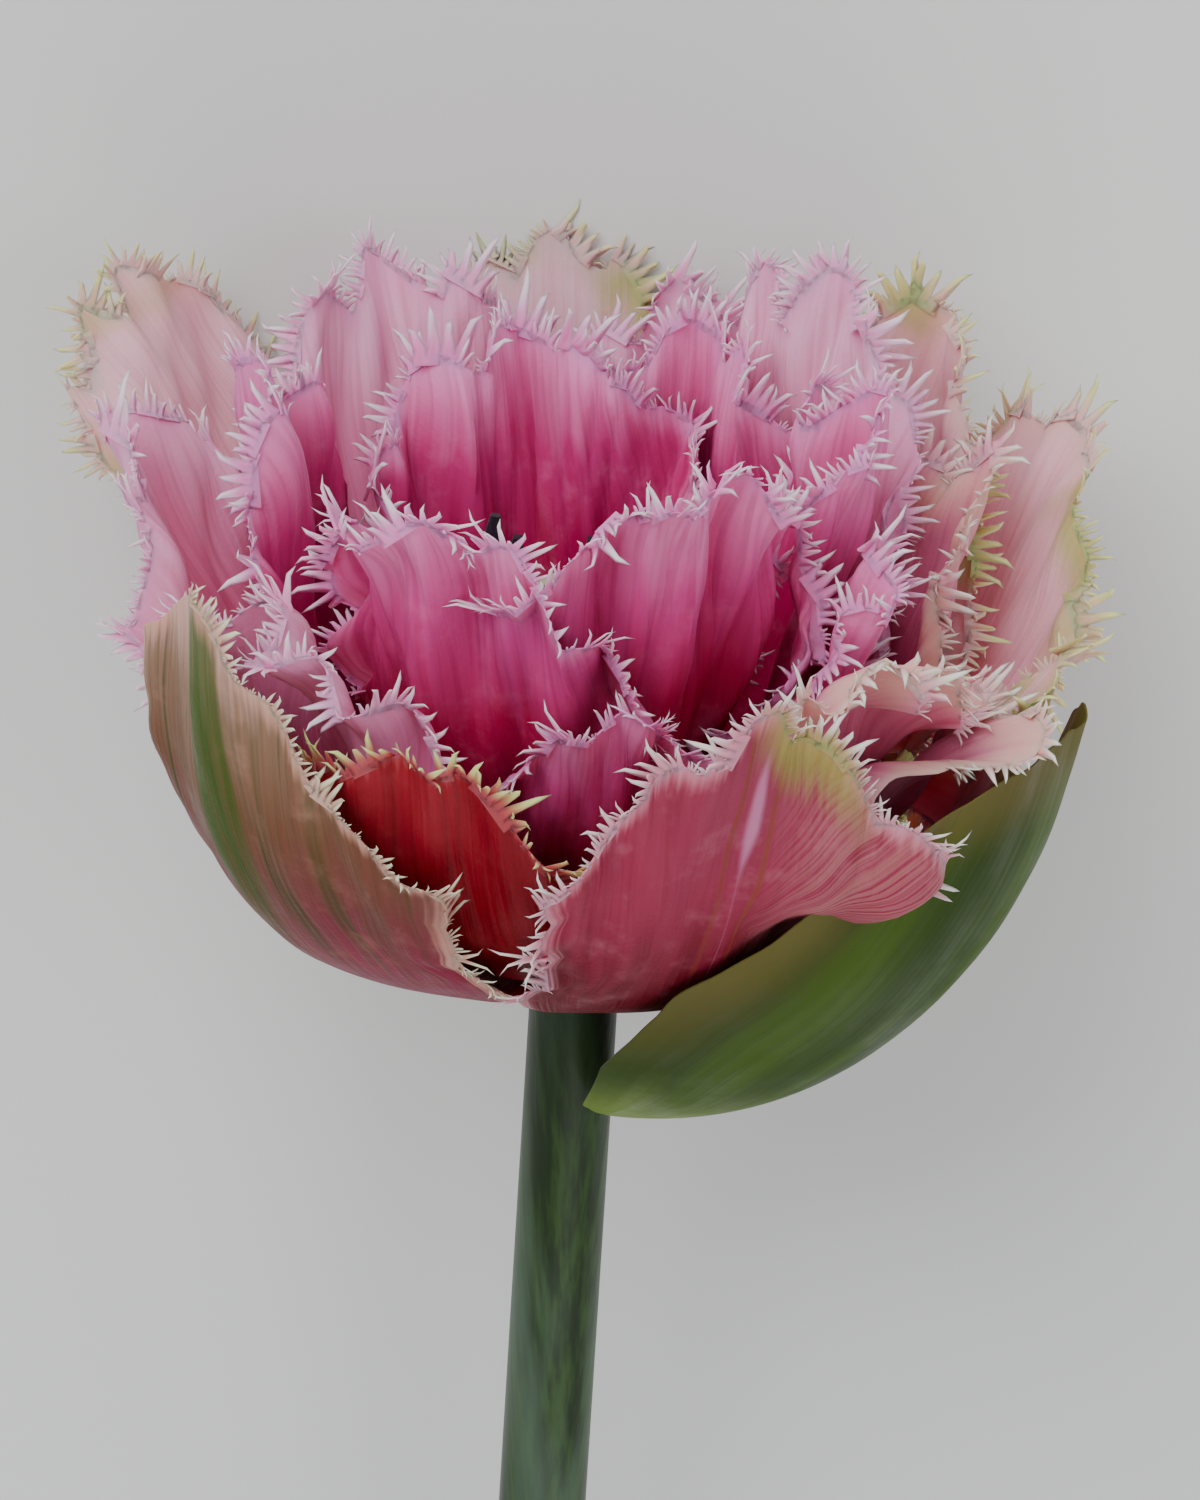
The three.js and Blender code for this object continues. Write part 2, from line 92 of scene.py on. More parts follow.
# azimuth, layer, half width left and right, shoulders left and right, roundness of the top, length,
# extra opening, swing, ruffle, waves, phase, keel, curl
PETALS = {
    "front": (18, 1.0, 20, 18.5, 0.76, 0.75, 1.15, 0.985, 0, 4, 0.8, 2, 0.5, 2, 0),
    "left_keel": (-50, 1.0, 13, 27, 0.9, 0.66, 1.1, 1.03, -3, 0, 0.8, 2, 0, 5, 0),
    "right": (116, 1.0, 17.5, 20, 0.8, 0.78, 2.6, 0.95, 9, 0, 1.0, 2, 1, 0, 0),
    "back": (-176, 1.0, 19, 12, 0.8, 0.75, 3, 1.05, 2, 0, 0.6, 2, 2, 0, 0),
    "right_tip": (77, 1.0, 15, 13, 0.72, 0.7, 1.4, 0.87, -1, 0, 0.5, 2, 1, 0, 3),
    "back_left": (-146, 0.84, 11.5, 14, 0.8, 0.92, 2.6, 1.07, 9, 16, 1.2, 2, 0, 0, 0),
    "front_left": (-25, 0.84, 20, 19, 0.7, 0.68, 2.2, 0.86, -3, 4, 0.8, 3, 1.2, 0, 0),
    "back_right": (137, 0.84, 18, 18, 0.68, 0.65, 2.4, 1.04, 2.5, -7, 1.0, 3, 0.4, 0, 0),
    "front_right": (60, 0.68, 18, 18, 0.74, 0.7, 2.2, 0.83, 6, 2, 0.8, 3, 2.2, 0, 0),
    "side_right": (108, 0.68, 15, 15, 0.65, 0.65, 2.4, 0.92, 3, 2, 1.0, 2, 0.4, 4, 0),
    "side_left": (-102, 0.68, 20, 20, 0.78, 0.74, 2.4, 0.99, 4, 0, 1.2, 3, 0.4, 0, 0),
    "back_middle": (164, 0.68, 18, 18, 0.65, 0.65, 2.2, 1.0, 2, 0, 0.8, 2, 0.6, 0, 0),
    "rolled": (38, 0.52, 19, 16, 0.72, 0.75, 2.2, 0.92, 5, 8, 1.0, 3, 0.4, 0, 0),
    "inner_left": (-48, 0.52, 18, 18, 0.88, 0.65, 2.0, 0.93, 0, 4, 1.0, 3, 0.4, 0, 0),
    "inner_back": (-150, 0.52, 18, 19, 0.75, 0.75, 3.0, 1.05, 2, 0, 1.3, 3, 0.4, 0, 0),
    "back_inner_right": (137, 0.52, 17, 17, 0.78, 0.78, 3.0, 1.06, 1, 0, 1.3, 3, 0.4, 0, 0),
    "inner_front": (8, 0.36, 12, 14, 0.75, 0.75, 2.4, 0.79, 1, 0, 1.1, 3, 0.4, 0, 0),
    "inner_right": (70, 0.36, 14, 14, 0.7, 0.7, 2.4, 0.89, 1, 0, 1.0, 3, 0.4, 0, 0),
    "cup_left": (-98, 0.36, 15, 15, 0.75, 0.75, 2.6, 1.04, -1, 0, 1.3, 3, 0.4, 0, 0),
    "cup_back": (154, 0.36, 16, 16, 0.75, 0.75, 3.0, 0.97, 0, 0, 1.3, 3, 0.4, 0, 0),
    "heart_left": (-30, 0.2, 13, 18, 0.88, 0.72, 2.6, 1.02, 0, 0, 1.2, 3, 0.4, 0, 0),
    "cup_right": (98, 0.2, 14, 14, 0.75, 0.75, 2.6, 1.0, 1, 0, 1.3, 3, 0.4, 0, 0),
    "heart_front": (34, 0.04, 19, 13, 0.82, 0.82, 3.0, 1.0, 0, 0, 1.2, 3, 1.4, 0, 0),
    "heart_back": (-166, 0.04, 17, 17, 0.8, 0.8, 3.0, 0.95, 4, 0, 1.2, 3, 0.4, 0, 0),
}
BRACT = (62, BRACT_LAYER, 30, 14, 0.74, 0.74, 2, 1, 0, 11, 0.5, 2, 0, 0, 0)
BRACT_SEED = 77

# Height up the flower's axis and radius: the stem's top with the receptacle, and the pistil.
RECEPTACLE = ((8.6, 1.5), (8.2, 1.9), (7.3, 2.2), (3.6, 3.75), (-0.1, 5.3),
              (-0.9, 5.4), (-2.6, 4.9), (-5.5, STEM_TOP_RADIUS + 0.1))
PISTIL = ((8.95, 1.1), (10, 1.4), (13, 2.5), (18, 3.1), (25, 2.9), (30, 2.3), (31.5, 2.9),
          (33, 4.0), (34, 3.2))

STAMEN_AZIMUTHS = (-80, -20, 45, 105, 165, -135)
STAMEN_HEIGHTS = (42, 37.5, 36.5, 38, 36, 37)
ANTHER_LENGTH = 14
ANTHER_RADIUS = 1.3
FILAMENT_RADIUS = 0.5
ROD_CUTS = 4

# Side, share of the stem where it clasps, the points its line runs by, half width, waves.
LEAVES = {
    "leaf_left": (-1, 0.8, ((-17, -84, 6), (-50, -52, -1.4), (-56, 18, -1.4)), 20, 2.2),
    "leaf_right": (1, 0.66, ((9, -48, 9), (46, -30, -1.4), (58, 22, -1.4)), 16, 1.8),
}
LEAF_CLASP = 1.25
LEAF_ARCH = 34
LEAF_LENGTH = 130

# The fringe is cut in hands; each tooth leans so many degrees, is so long, and bends to the face by
# so much of its length.
HANDS = (
    ((-26, 1.3, 0.5), (-8, 2.5, -0.3), (9, 1.8, 0.4), (28, 1.1, -0.3)),
    ((-15, 1.8, -0.4), (5, 1.1, 0.5), (20, 2.4, 0.2)),
    ((-32, 1.1, 0.4), (-12, 1.9, 0.6), (3, 2.7, -0.2), (24, 1.4, 0.7)),
    ((-9, 2.6, 0.3), (15, 1.5, -0.6)),
    ((-24, 1.1, 0.2), (-6, 1.6, -0.3), (10, 1.0, 0.5), (27, 1.9, 0.1)),
)
HAND_SIZE = (1.12, 2.0)
HAND_SIZES = {"left_keel": (0.7, 1.4), "front": (0.9, 1.8)}
TOOTH_WIDTH = 0.68
TOOTH_HALF = 0.27
TOOTH_MIDDLE = 0.68
TIP_TURN = 1.4
WEB = 0.7
CLEFT = 0.4
ROOT = 0.5
# Half the thickness of a hand at its root and tooth, and at its web.
ROOT_HALF, WEB_HALF = 0.09, 0.12

# How far the top margin rolls outwards, in radians, and over how many millimetres; fewer folds in some.
ROLLS = {
    "heart_left": (1.3, 7), "heart_front": (1.0, 6), "inner_left": (1.3, 7), "inner_front": (0.8, 5),
    "front_left": (0.5, 5), "rolled": (1.7, 9), "front_right": (1.6, 9), "side_left": (0.8, 6),
    "back_left": (0.7, 8), "cup_left": (0.6, 5), "side_right": (0.6, 5), "inner_right": (0.8, 5),
}
FOLDS = {"left_keel": 0.3, "front": 0.7, "front_left": 0.5, "right": 0.7, "bract": 0.12}
LOBED = {"left_keel": 0.35, "front": 0.55, "front_left": 0.35, "right": 0.4, "back": 0.6,
         "back_left": 0.7, "right_tip": 0.6, "bract": 0.1}

# The share of the margin, from its left end to its right, that carries the fringe.
FRINGED = {"left_keel": (0.5, 0.93), "front": (0.07, 0.76), "right_tip": (0.38, 0.8),
           "front_right": (0.42, 1.0)}

# How far up its side margins a petal stands clear of its neighbours.
OPENS = {"left_keel": 0.6, "front": 0.56}

# The front petal lies over the bract: its right half is narrow below (by this share of its width)
# and above spreads and stands out, by so many millimetres.
CLAW = {"front": 0.4}
FLARE = {"front": 6}
LOBE_FROM = 0.63

# Along its margin a petal is notched into lobes, which end in the hands of the fringe.
LOBE = 2.6
LOBE_DEPTH = 2.6
BLADE_RISE = 58
ROUNDED = {"petal": 0.04, "bract": 0.14}

# How far the lobes of a margin lean in and out, and how deep and how long its crimps are.
TOP_CRIMP = (1.5, 0.8, 0.95)
SIDE_CRIMP = (0.9, 0.4, 0.9)

# Pleats run up all petals: depth in millimetres, how many round the flower, slant, start.
PLEATS = ((1.7, 11, 0.07, 0), (0.9, 23, -0.16, 1.3), (0.3, 57, 0.4, 0))

# Faces across and up a petal and a leaf, and points along a petal's margin: each side, and the top.
PETAL_GRID = (72, 60)
LEAF_GRID = (40, 130)
SIDE_POINTS, TOP_POINTS = 60, 120

# Points down the stem, millimetres from ring to ring of it, and sides of the round pieces.
STEM_POINTS = 120
STEM_STEP = 1.2
STEM_SIDES, PISTIL_SIDES, STAMEN_SIDES = 40, 36, 20

PETAL_FIELDS = ("azimuth", "layer", "left", "right", "low_left", "low_right", "point", "length",
                "lean", "skew", "ruffle", "waves", "phase", "keel", "curl")


# ---- small helpers ----
def smooth(value):
    q = np.clip(value, 0, 1)
    return q * q * (3 - 2 * q)


def mix(a, b, share):
    return a + (b - a) * share


def bezier(points, s):
    p = np.array(points, dtype=float)
    s = np.asarray(s, dtype=float)[..., None]
    r = 1 - s
    return r ** 3 * p[0] + 3 * r * r * s * p[1] + 3 * r * s * s * p[2] + s ** 3 * p[3]


def unit(vectors):
    length = np.linalg.norm(vectors, axis=-1, keepdims=True)
    return vectors / np.maximum(length, 1e-9)


def to_part(right, up, front):
    """From the flower's own frame (right, up its axis, front) to the part's frame."""
    cos, sin = math.cos(BLOOM_RISE), math.sin(BLOOM_RISE)
    right, up, front = np.broadcast_arrays(right, up, front)
    return np.stack([BLOOM_AT[0] + right,
                     BLOOM_AT[1] + up * cos - front * sin,
                     BLOOM_AT[2] + up * sin + front * cos], axis=-1)


def settle(points):
    """What would sink into the surface lies flat on it instead."""
    height = points[..., 2] - REST_HEIGHT
    soft = REST_HEIGHT + (height + SETTLE) ** 2 / (4 * SETTLE)
    points[..., 2] = np.where(height < -SETTLE, REST_HEIGHT,
                              np.where(height < SETTLE, soft, points[..., 2]))
    return points


# ---- the surfaces ----
def side_line(petal, s, t):
    inner, outer = bezier(INNER_LINE, s), bezier(OUTER_LINE, s)
    if petal["layer"] != BRACT_LAYER:
        return mix(inner, outer, petal["layer"])
    # The bract stands off in the middle; its margins lie against the petals, the left one closer.
    cup = mix(inner, outer, np.where(t < 0, BRACT_CLOSE, BRACT_LAYER)[..., None])
    hug = np.abs(t) ** 1.5 * np.minimum(s / 0.5, 1) * np.where(t < 0, 1.0, 0.85)
    return mix(bezier(BRACT_LINE, s), cup, hug[..., None])


def sectors(petals):
    """How far a petal may spread to each side before it meets the next one of its own ring."""
    rooms = {}
    for name, petal in petals.items():
        left = right = math.pi
        for other, near in petals.items():
            if other == name or near["layer"] != petal["layer"]:
                continue
            to_right = math.radians((near["azimuth"] - petal["azimuth"]) % 360)
            to_left = 2 * math.pi - to_right
            right = min(right, to_right * petal["right"] / (petal["right"] + near["left"]))
            left = min(left, to_left * petal["left"] / (petal["left"] + near["right"]))
        rooms[name] = (left, right)
    return rooms


def petal_height(petal, t, v):
    """How high up the petal a point lies, as a share of its length."""
    low = np.where(t < 0, petal["low_left"], petal["low_right"])
    return v * (1 - (1 - low) * np.abs(t) ** petal["point"])


def lobe_waves(petal, x, v):
    """Waves along the top margin and along the side margins, one lobe of the petal to a half wave."""
    top = np.cos(x / LOBE + 0.8 * np.sin(2.1 * petal["seed"]))
    side = np.sin(v * BLADE_RISE / LOBE + petal["seed"])
    return top, side


def petal_spread(petal, room, t, v, s, opening, side_lobes):
    """How far round the flower a petal reaches to each side, as an angle."""
    half = np.where(t < 0, petal["left"], petal["right"])
    space = np.where(t < 0, room[0], room[1])
    width = FOOT_HALF + (half - FOOT_HALF) * np.sin(math.pi / 2 * np.minimum(s / WIDEST_AT, 1))
    clearance = mix(FOOT_CLEARANCE, SIDE_CLEARANCE, smooth((v - petal["opens"]) / 0.14))
    spread = np.minimum(np.minimum(width / opening, space - clearance / opening), 1)
    spread = spread * (1 + petal["lobes"] * LOBE_DEPTH / half * side_lobes)
    spread = spread * (1 - petal["rounded"] * smooth((v - 0.72) / 0.28))
    return spread * (1 - petal["claw"] * (1 - smooth((s - LOBE_FROM) / 0.12)) * (t > 0))


def petal_push(petal, t, v, s, azimuth, height, crimp):
    """How far a petal stands out from its layer: its waves, keel, curled tip, folds and flare."""
    rim = v * v * (0.3 + 0.7 * np.abs(t))
    wave = np.sin(math.pi * petal["waves"] * t + petal["phase"] + 2.2 * v)
    keel = petal["keel"] * s * (1 - s * 0.4) * (0.5 - np.abs(t))
    curl = petal["curl"] * np.clip((v - TOP_FROM) / (1 - TOP_FROM), 0, 1) ** 2 * (1 - t * t)
    # Pleats run the same through all layers, so that one petal nests in the next.
    pleat = smooth((v - 0.35) / 0.65) * sum(
        depth * np.sin(count * azimuth + slant * height + start)
        for depth, count, slant, start in PLEATS)
    push = petal["ruffle"] * rim * wave + keel + curl + petal["folds"] * (pleat + crimp)
    return push + petal["flare"] * smooth((t - 0.05) / 0.8) * smooth((s - LOBE_FROM) / 0.12)


def petal_roll(petal, x, v):
    """The top margin rolls outwards: how far out that takes it, and how far up or down."""
    angle, width = petal["roll"]
    share = np.clip(1 - (1 - v) * BLADE_RISE * petal["length"] / width, 0, 1)
    angle = angle * (0.75 + 0.25 * np.sin(x / 4 + petal["seed"]))
    return (width / angle * (1 - np.cos(angle * share)),
            width / angle * np.sin(angle * share) - width * share)


def petal_surface(petal, room, t, v):
    """Middle face of a petal: t across (-1..1), v from the base to the margin (0..1)."""
    t, v = np.broadcast_arrays(np.asarray(t, float), np.asarray(v, float))
    x = t * np.where(t < 0, petal["left"], petal["right"])
    seed = petal["seed"]
    top_wave, side_wave = lobe_waves(petal, x, v)
    near_top = smooth((v - TOP_FROM) / (1 - TOP_FROM))
    near_side = smooth((np.abs(t) - SIDE_FROM) / (1 - SIDE_FROM)) * smooth((v - petal["opens"]) / 0.15)
    top_lobes = np.abs(top_wave) ** 0.7 - 0.6 + 0.25 * np.sin(x / 1.1 + 2.1 * seed)
    s = petal_height(petal, t, v) * petal["length"]
    s = s * (1 + petal["lobes"] * LOBE_DEPTH / BLADE_RISE * near_top * top_lobes)
    # The line up the middle of the layer, and the ways out of it and down it.
    line = side_line(petal, s, t)
    ahead = unit(side_line(petal, s + 0.001, t) - line)
    radius, height = line[..., 0], line[..., 1]
    outward, downward = ahead[..., 1], ahead[..., 0]
    radius_here = radius + petal["lean"] * s ** 3
    spread = petal_spread(petal, room, t, v, s, np.maximum(radius_here, 1),
                          near_side * (np.abs(side_wave) ** 0.7 - 0.6))
    azimuth = np.radians(petal["azimuth"] + petal["skew"] * s * s) + t * spread
    # Towards the margin the lobes bend in and out by turns, and crimp, as cloth cut too long does.
    lobe, fold, length = TOP_CRIMP
    crimp = near_top * (lobe * top_wave + fold * np.sin(x / length + seed + 6 * v))
    lobe, fold, length = SIDE_CRIMP
    crimp += near_side * (lobe * side_wave + fold * np.sin(v * BLADE_RISE / length + 2 * seed))
    rolled, slide = petal_roll(petal, x, v)
    push = petal_push(petal, t, v, s, azimuth, height, crimp) + rolled
    r = radius_here + push * outward + slide * downward
    up = height - push * downward + slide * outward
    return settle(to_part(r * np.sin(azimuth), up, r * np.cos(azimuth)))


def stem_centre(share):
    """The stem's middle line, from the neck under the bloom down to the cut."""
    cut = (*STEM_CUT_AT, STEM_CUT_RADIUS)
    before = [at + by for at, by in zip(cut, STEM_NEAR_CUT)]
    return bezier((to_part(0, NECK, 0), to_part(*STEM_UNDER_NECK), before, cut), share)


def leaf_surface(leaf, t, v):
    """Middle face of a leaf: t across (-1..1), v from the clasp round the stem to the tip."""
    side, clasps_at, rest, width, waves = leaf
    t, v = np.broadcast_arrays(np.asarray(t, float), np.asarray(v, float))
    axis = stem_centre(clasps_at)
    clasp = mix(STEM_TOP_RADIUS, STEM_CUT_RADIUS, clasps_at) + FIT_GAP + BLADE / 2
    line = ((axis[0] + side * clasp, axis[1], axis[2]), *rest)
    middle = bezier(line, v)
    along = unit(bezier(line, v + 0.002) - middle)
    stem_way = unit(stem_centre(clasps_at - 0.02) - axis)
    along = unit(mix(along, stem_way, (1 - smooth(v / 0.12))[..., None]))
    lie = smooth(v / 0.5)
    normal = np.stack([side * (1 - lie), np.zeros_like(lie), -lie], axis=-1)
    normal = unit(normal - along * np.sum(normal * along, axis=-1, keepdims=True))
    across = unit(np.cross(along, normal))
    taper = np.where(v < 0.35, 1, np.maximum(1 - ((v - 0.35) / 0.65) ** 2, 0.02))
    half = mix(clasp * LEAF_CLASP, width, np.sin(math.pi / 2 * np.clip(v / 0.4, 0, 1))) * taper
    bend = 1 / mix(1 / clasp, 1 / LEAF_ARCH, smooth(v / 0.3))
    turn = t * half / bend
    wave = waves * t * t * smooth(v / 0.4) * taper * np.sin(9 * v + np.where(t > 0, 0, 2) + 1)
    lift = bend * (1 - np.cos(turn)) + wave
    middle = middle + across * (bend * np.sin(turn))[..., None] - normal * lift[..., None]
    return settle(middle)


# ---- meshes ----
CREASE = math.radians(65)
SMALL_STEP = 0.004


def mesh_piece(name, points, faces, attributes, edges=()):
    """A mesh object from points in millimetres, with one value or vector a point in each attribute."""
    mesh = bpy.data.meshes.new(name)
    mesh.from_pydata((np.asarray(points) * MM).tolist(), list(edges), [tuple(f) for f in faces])
    for key, values in attributes.items():
        values = np.asarray(values, dtype=np.float32)
        kind = "FLOAT" if values.ndim == 1 else "FLOAT_VECTOR"
        field = "value" if values.ndim == 1 else "vector"
        mesh.attributes.new(key, kind, "POINT").data.foreach_set(field, values.ravel())
    mesh.shade_smooth()
    if len(faces):
        mesh.set_sharp_from_angle(angle=CREASE)
    piece = bpy.data.objects.new(name, mesh)
    bpy.context.scene.collection.objects.link(piece)
    return piece


def face_normals(surface, t, v):
    """The way out of a surface, from points a small step to each side."""
    across = surface(t + SMALL_STEP, v) - surface(t - SMALL_STEP, v)
    along = surface(t, v + SMALL_STEP) - surface(t, v - SMALL_STEP)
    return unit(np.cross(across, along))


def blade(surface, grid, thickness, half_width, reach):
    """Points, faces and attributes of a thin closed blade round a middle face."""
    columns, rows = grid
    t = -np.cos(np.linspace(0, math.pi, columns + 1)) * 0.5 + np.linspace(-1, 1, columns + 1) * 0.5
    v = np.linspace(0, 1, rows + 1)
    t, v = np.meshgrid(t, v)
    middle = surface(t, v)
    normal = face_normals(surface, t, v)
    to_side = (1 - np.abs(t)) * half_width
    to_top = (1 - v) * reach
    edge = np.minimum(to_top, np.where(v > FRINGE_FROM - 0.06, to_side, 20))
    thin = smooth(np.minimum(to_side, to_top) / EDGE_TAPER)
    half = (thickness / 2 * mix(THIN_EDGE, 1, thin))[..., None]
    outer, inner = middle + normal * half, middle - normal * half
    points = np.concatenate([outer.reshape(-1, 3), inner.reshape(-1, 3)])
    points[:, 2] = np.maximum(points[:, 2], LOWEST)
    count = t.size
    place = np.stack([t, v, np.zeros_like(t)], axis=-1).reshape(-1, 3)
    attributes = {
        "place": np.concatenate([place, place]),
        "edge": np.concatenate([edge.ravel(), edge.ravel()]),
        "side": np.concatenate([np.ones(count), np.zeros(count)]),
    }
    index = np.arange(count).reshape(rows + 1, columns + 1)
    a, b = index[:-1, :-1].ravel(), index[:-1, 1:].ravel()
    c, d = index[1:, 1:].ravel(), index[1:, :-1].ravel()
    faces = np.concatenate([np.stack([a, b, c, d], 1), np.stack([d, c, b, a], 1) + count])
    loop = np.concatenate([index[0, :], index[1:, -1], index[-1, -2::-1], index[-2:0:-1, 0]])
    after = np.roll(loop, -1)
    rim = np.stack([after, loop, loop + count, after + count], 1)
    return points, np.concatenate([faces, rim]), attributes


def margin_line(surface, ends):
    """Points along the margin, with the way the fringe grows out of it at each."""
    side, up_side = np.ones(SIDE_POINTS), np.linspace(FRINGE_FROM, 1, SIDE_POINTS)
    across = np.linspace(-1, 1, TOP_POINTS)[1:-1]
    t = np.concatenate([-side, across, side])
    v = np.concatenate([up_side, np.ones(TOP_POINTS - 2), up_side[::-1]])
    first, last = (round(end * len(t)) for end in ends)
    t, v = t[first:last], v[first:last]
    points = surface(t, v)
    inside = surface(t * 0.94, v - 0.05)
    tangent = unit(np.gradient(points, axis=0))
    out = points - inside
    out = unit(out - tangent * np.sum(out * tangent, axis=1, keepdims=True))
    normal = face_normals(surface, t, v)
    return t, v, points, out, normal


def make_hand(number, teeth):
    """A flat lobe of petal cut into pointed teeth; its root lies at the origin, its teeth point up."""
    count = len(teeth)
    wide = TOOTH_WIDTH * count
    points, faces = [], []

    def spot(x, y, z):
        points.append((x, y, z))
        return len(points) - 1

    def pair(x, y, z, half):
        return spot(x, y + half, z), spot(x, y - half, z)

    def web_height(x):
        return WEB * (1 - (2 * x / wide) ** 2) + 0.1

    columns = np.linspace(-wide / 2, wide / 2, 2 * count + 1)
    roots = [pair(x, 0, -ROOT, ROOT_HALF) for x in columns]
    notches = [spot(x, 0, max(web_height(x) - CLEFT, 0.05)) for x in columns[::2]]
    for i, (lean, length, bend) in enumerate(teeth):
        x = columns[2 * i + 1]
        z = web_height(x)
        turn = math.radians(lean)
        out_x, out_z = math.sin(turn), math.cos(turn)
        low = pair(x, 0, z, WEB_HALF)
        up = length * TOOTH_MIDDLE
        mid_x, mid_y, mid_z = x + out_x * up, bend * length * 0.4, z + out_z * up
        half = TOOTH_WIDTH * TOOTH_HALF
        mid = pair(mid_x, mid_y, mid_z, ROOT_HALF)
        left = spot(mid_x - out_z * half, mid_y, mid_z + out_x * half)
        right = spot(mid_x + out_z * half, mid_y, mid_z - out_x * half)
        turn *= TIP_TURN
        tip = spot(x + math.sin(turn) * length, bend * length, z + math.cos(turn) * length)
        a, b, c = roots[2 * i], roots[2 * i + 1], roots[2 * i + 2]
        before, after = notches[i], notches[i + 1]
        for k in (0, 1):
            faces += [(a[k], b[k], low[k], before), (b[k], c[k], after, low[k]),
                      (before, low[k], mid[k], left), (low[k], after, right, mid[k]),
                      (left, mid[k], tip), (mid[k], right, tip)]
        faces += [(a[0], a[1], b[1], b[0]), (b[0], b[1], c[1], c[0])]
    faces += [(roots[0][0], roots[0][1], notches[0]), (roots[-1][0], roots[-1][1], notches[-1])]
    edge = [-max(z, 0) for _, _, z in points]
    hand = mesh_piece(f"hand_{number}", points, faces, {"edge": edge})
    shape = bmesh.new()
    shape.from_mesh(hand.data)
    bmesh.ops.recalc_face_normals(shape, faces=shape.faces)
    shape.to_mesh(hand.data)
    shape.free()
    return hand


# ---- trees ----
def add_node(tree, kind, settings=None, inputs=()):
    """Adds a node with its settings; its inputs, by name or in order, are values or come from nodes."""
    made = tree.nodes.new(kind)
    for key, value in (settings or {}).items():
        setattr(made, key, value)
    sockets = [socket for socket in made.inputs if socket.enabled]
    if isinstance(inputs, dict):
        sockets = [next(socket for socket in sockets if socket.name == key) for key in inputs]
        inputs = inputs.values()
    for socket, value in zip(sockets, inputs):
        if isinstance(value, bpy.types.Node):
            value = next(out for out in value.outputs if out.enabled)
        if isinstance(value, bpy.types.NodeSocket):
            tree.links.new(value, socket)
        else:
            socket.default_value = value
    return made


def product(tree, *factors):
    """Factors multiplied. A factor (value, low, high) is how far the value has come from low to high,
    eased at both ends, and two numbers after them are what it runs between instead of 0 and 1."""
    made = None
    for factor in factors:
        if isinstance(factor, tuple):
            factor = add_node(
                tree, "ShaderNodeMapRange", {"interpolation_type": "SMOOTHSTEP"}, factor)
        made = factor if made is None else add_node(
            tree, "ShaderNodeMath", {"operation": "MULTIPLY"}, (made, factor))
    return made


def total(tree, *terms):
    """Terms added up; a term (value, weight) is multiplied first."""
    made = None
    for term in terms:
        if isinstance(term, tuple):
            term = product(tree, *term)
        made = term if made is None else add_node(
            tree, "ShaderNodeMath", {"operation": "ADD"}, (made, term))
    return made


def new_tree(name, inputs):
    """A tree from geometry to geometry with its inputs, and each input's identifier by name."""
    tree = bpy.data.node_groups.new(name, "GeometryNodeTree")
    tree.interface.new_socket("Geometry", in_out="INPUT", socket_type="NodeSocketGeometry")
    ids = {}
    for label, (kind, value) in inputs.items():
        made = tree.interface.new_socket(label, in_out="INPUT", socket_type="NodeSocket" + kind)
        if value is not None:
            made.default_value = value
        ids[label] = made.identifier
    tree.interface.new_socket("Geometry", in_out="OUTPUT", socket_type="NodeSocketGeometry")
    return tree, ids, tree.nodes.new("NodeGroupInput"), tree.nodes.new("NodeGroupOutput")


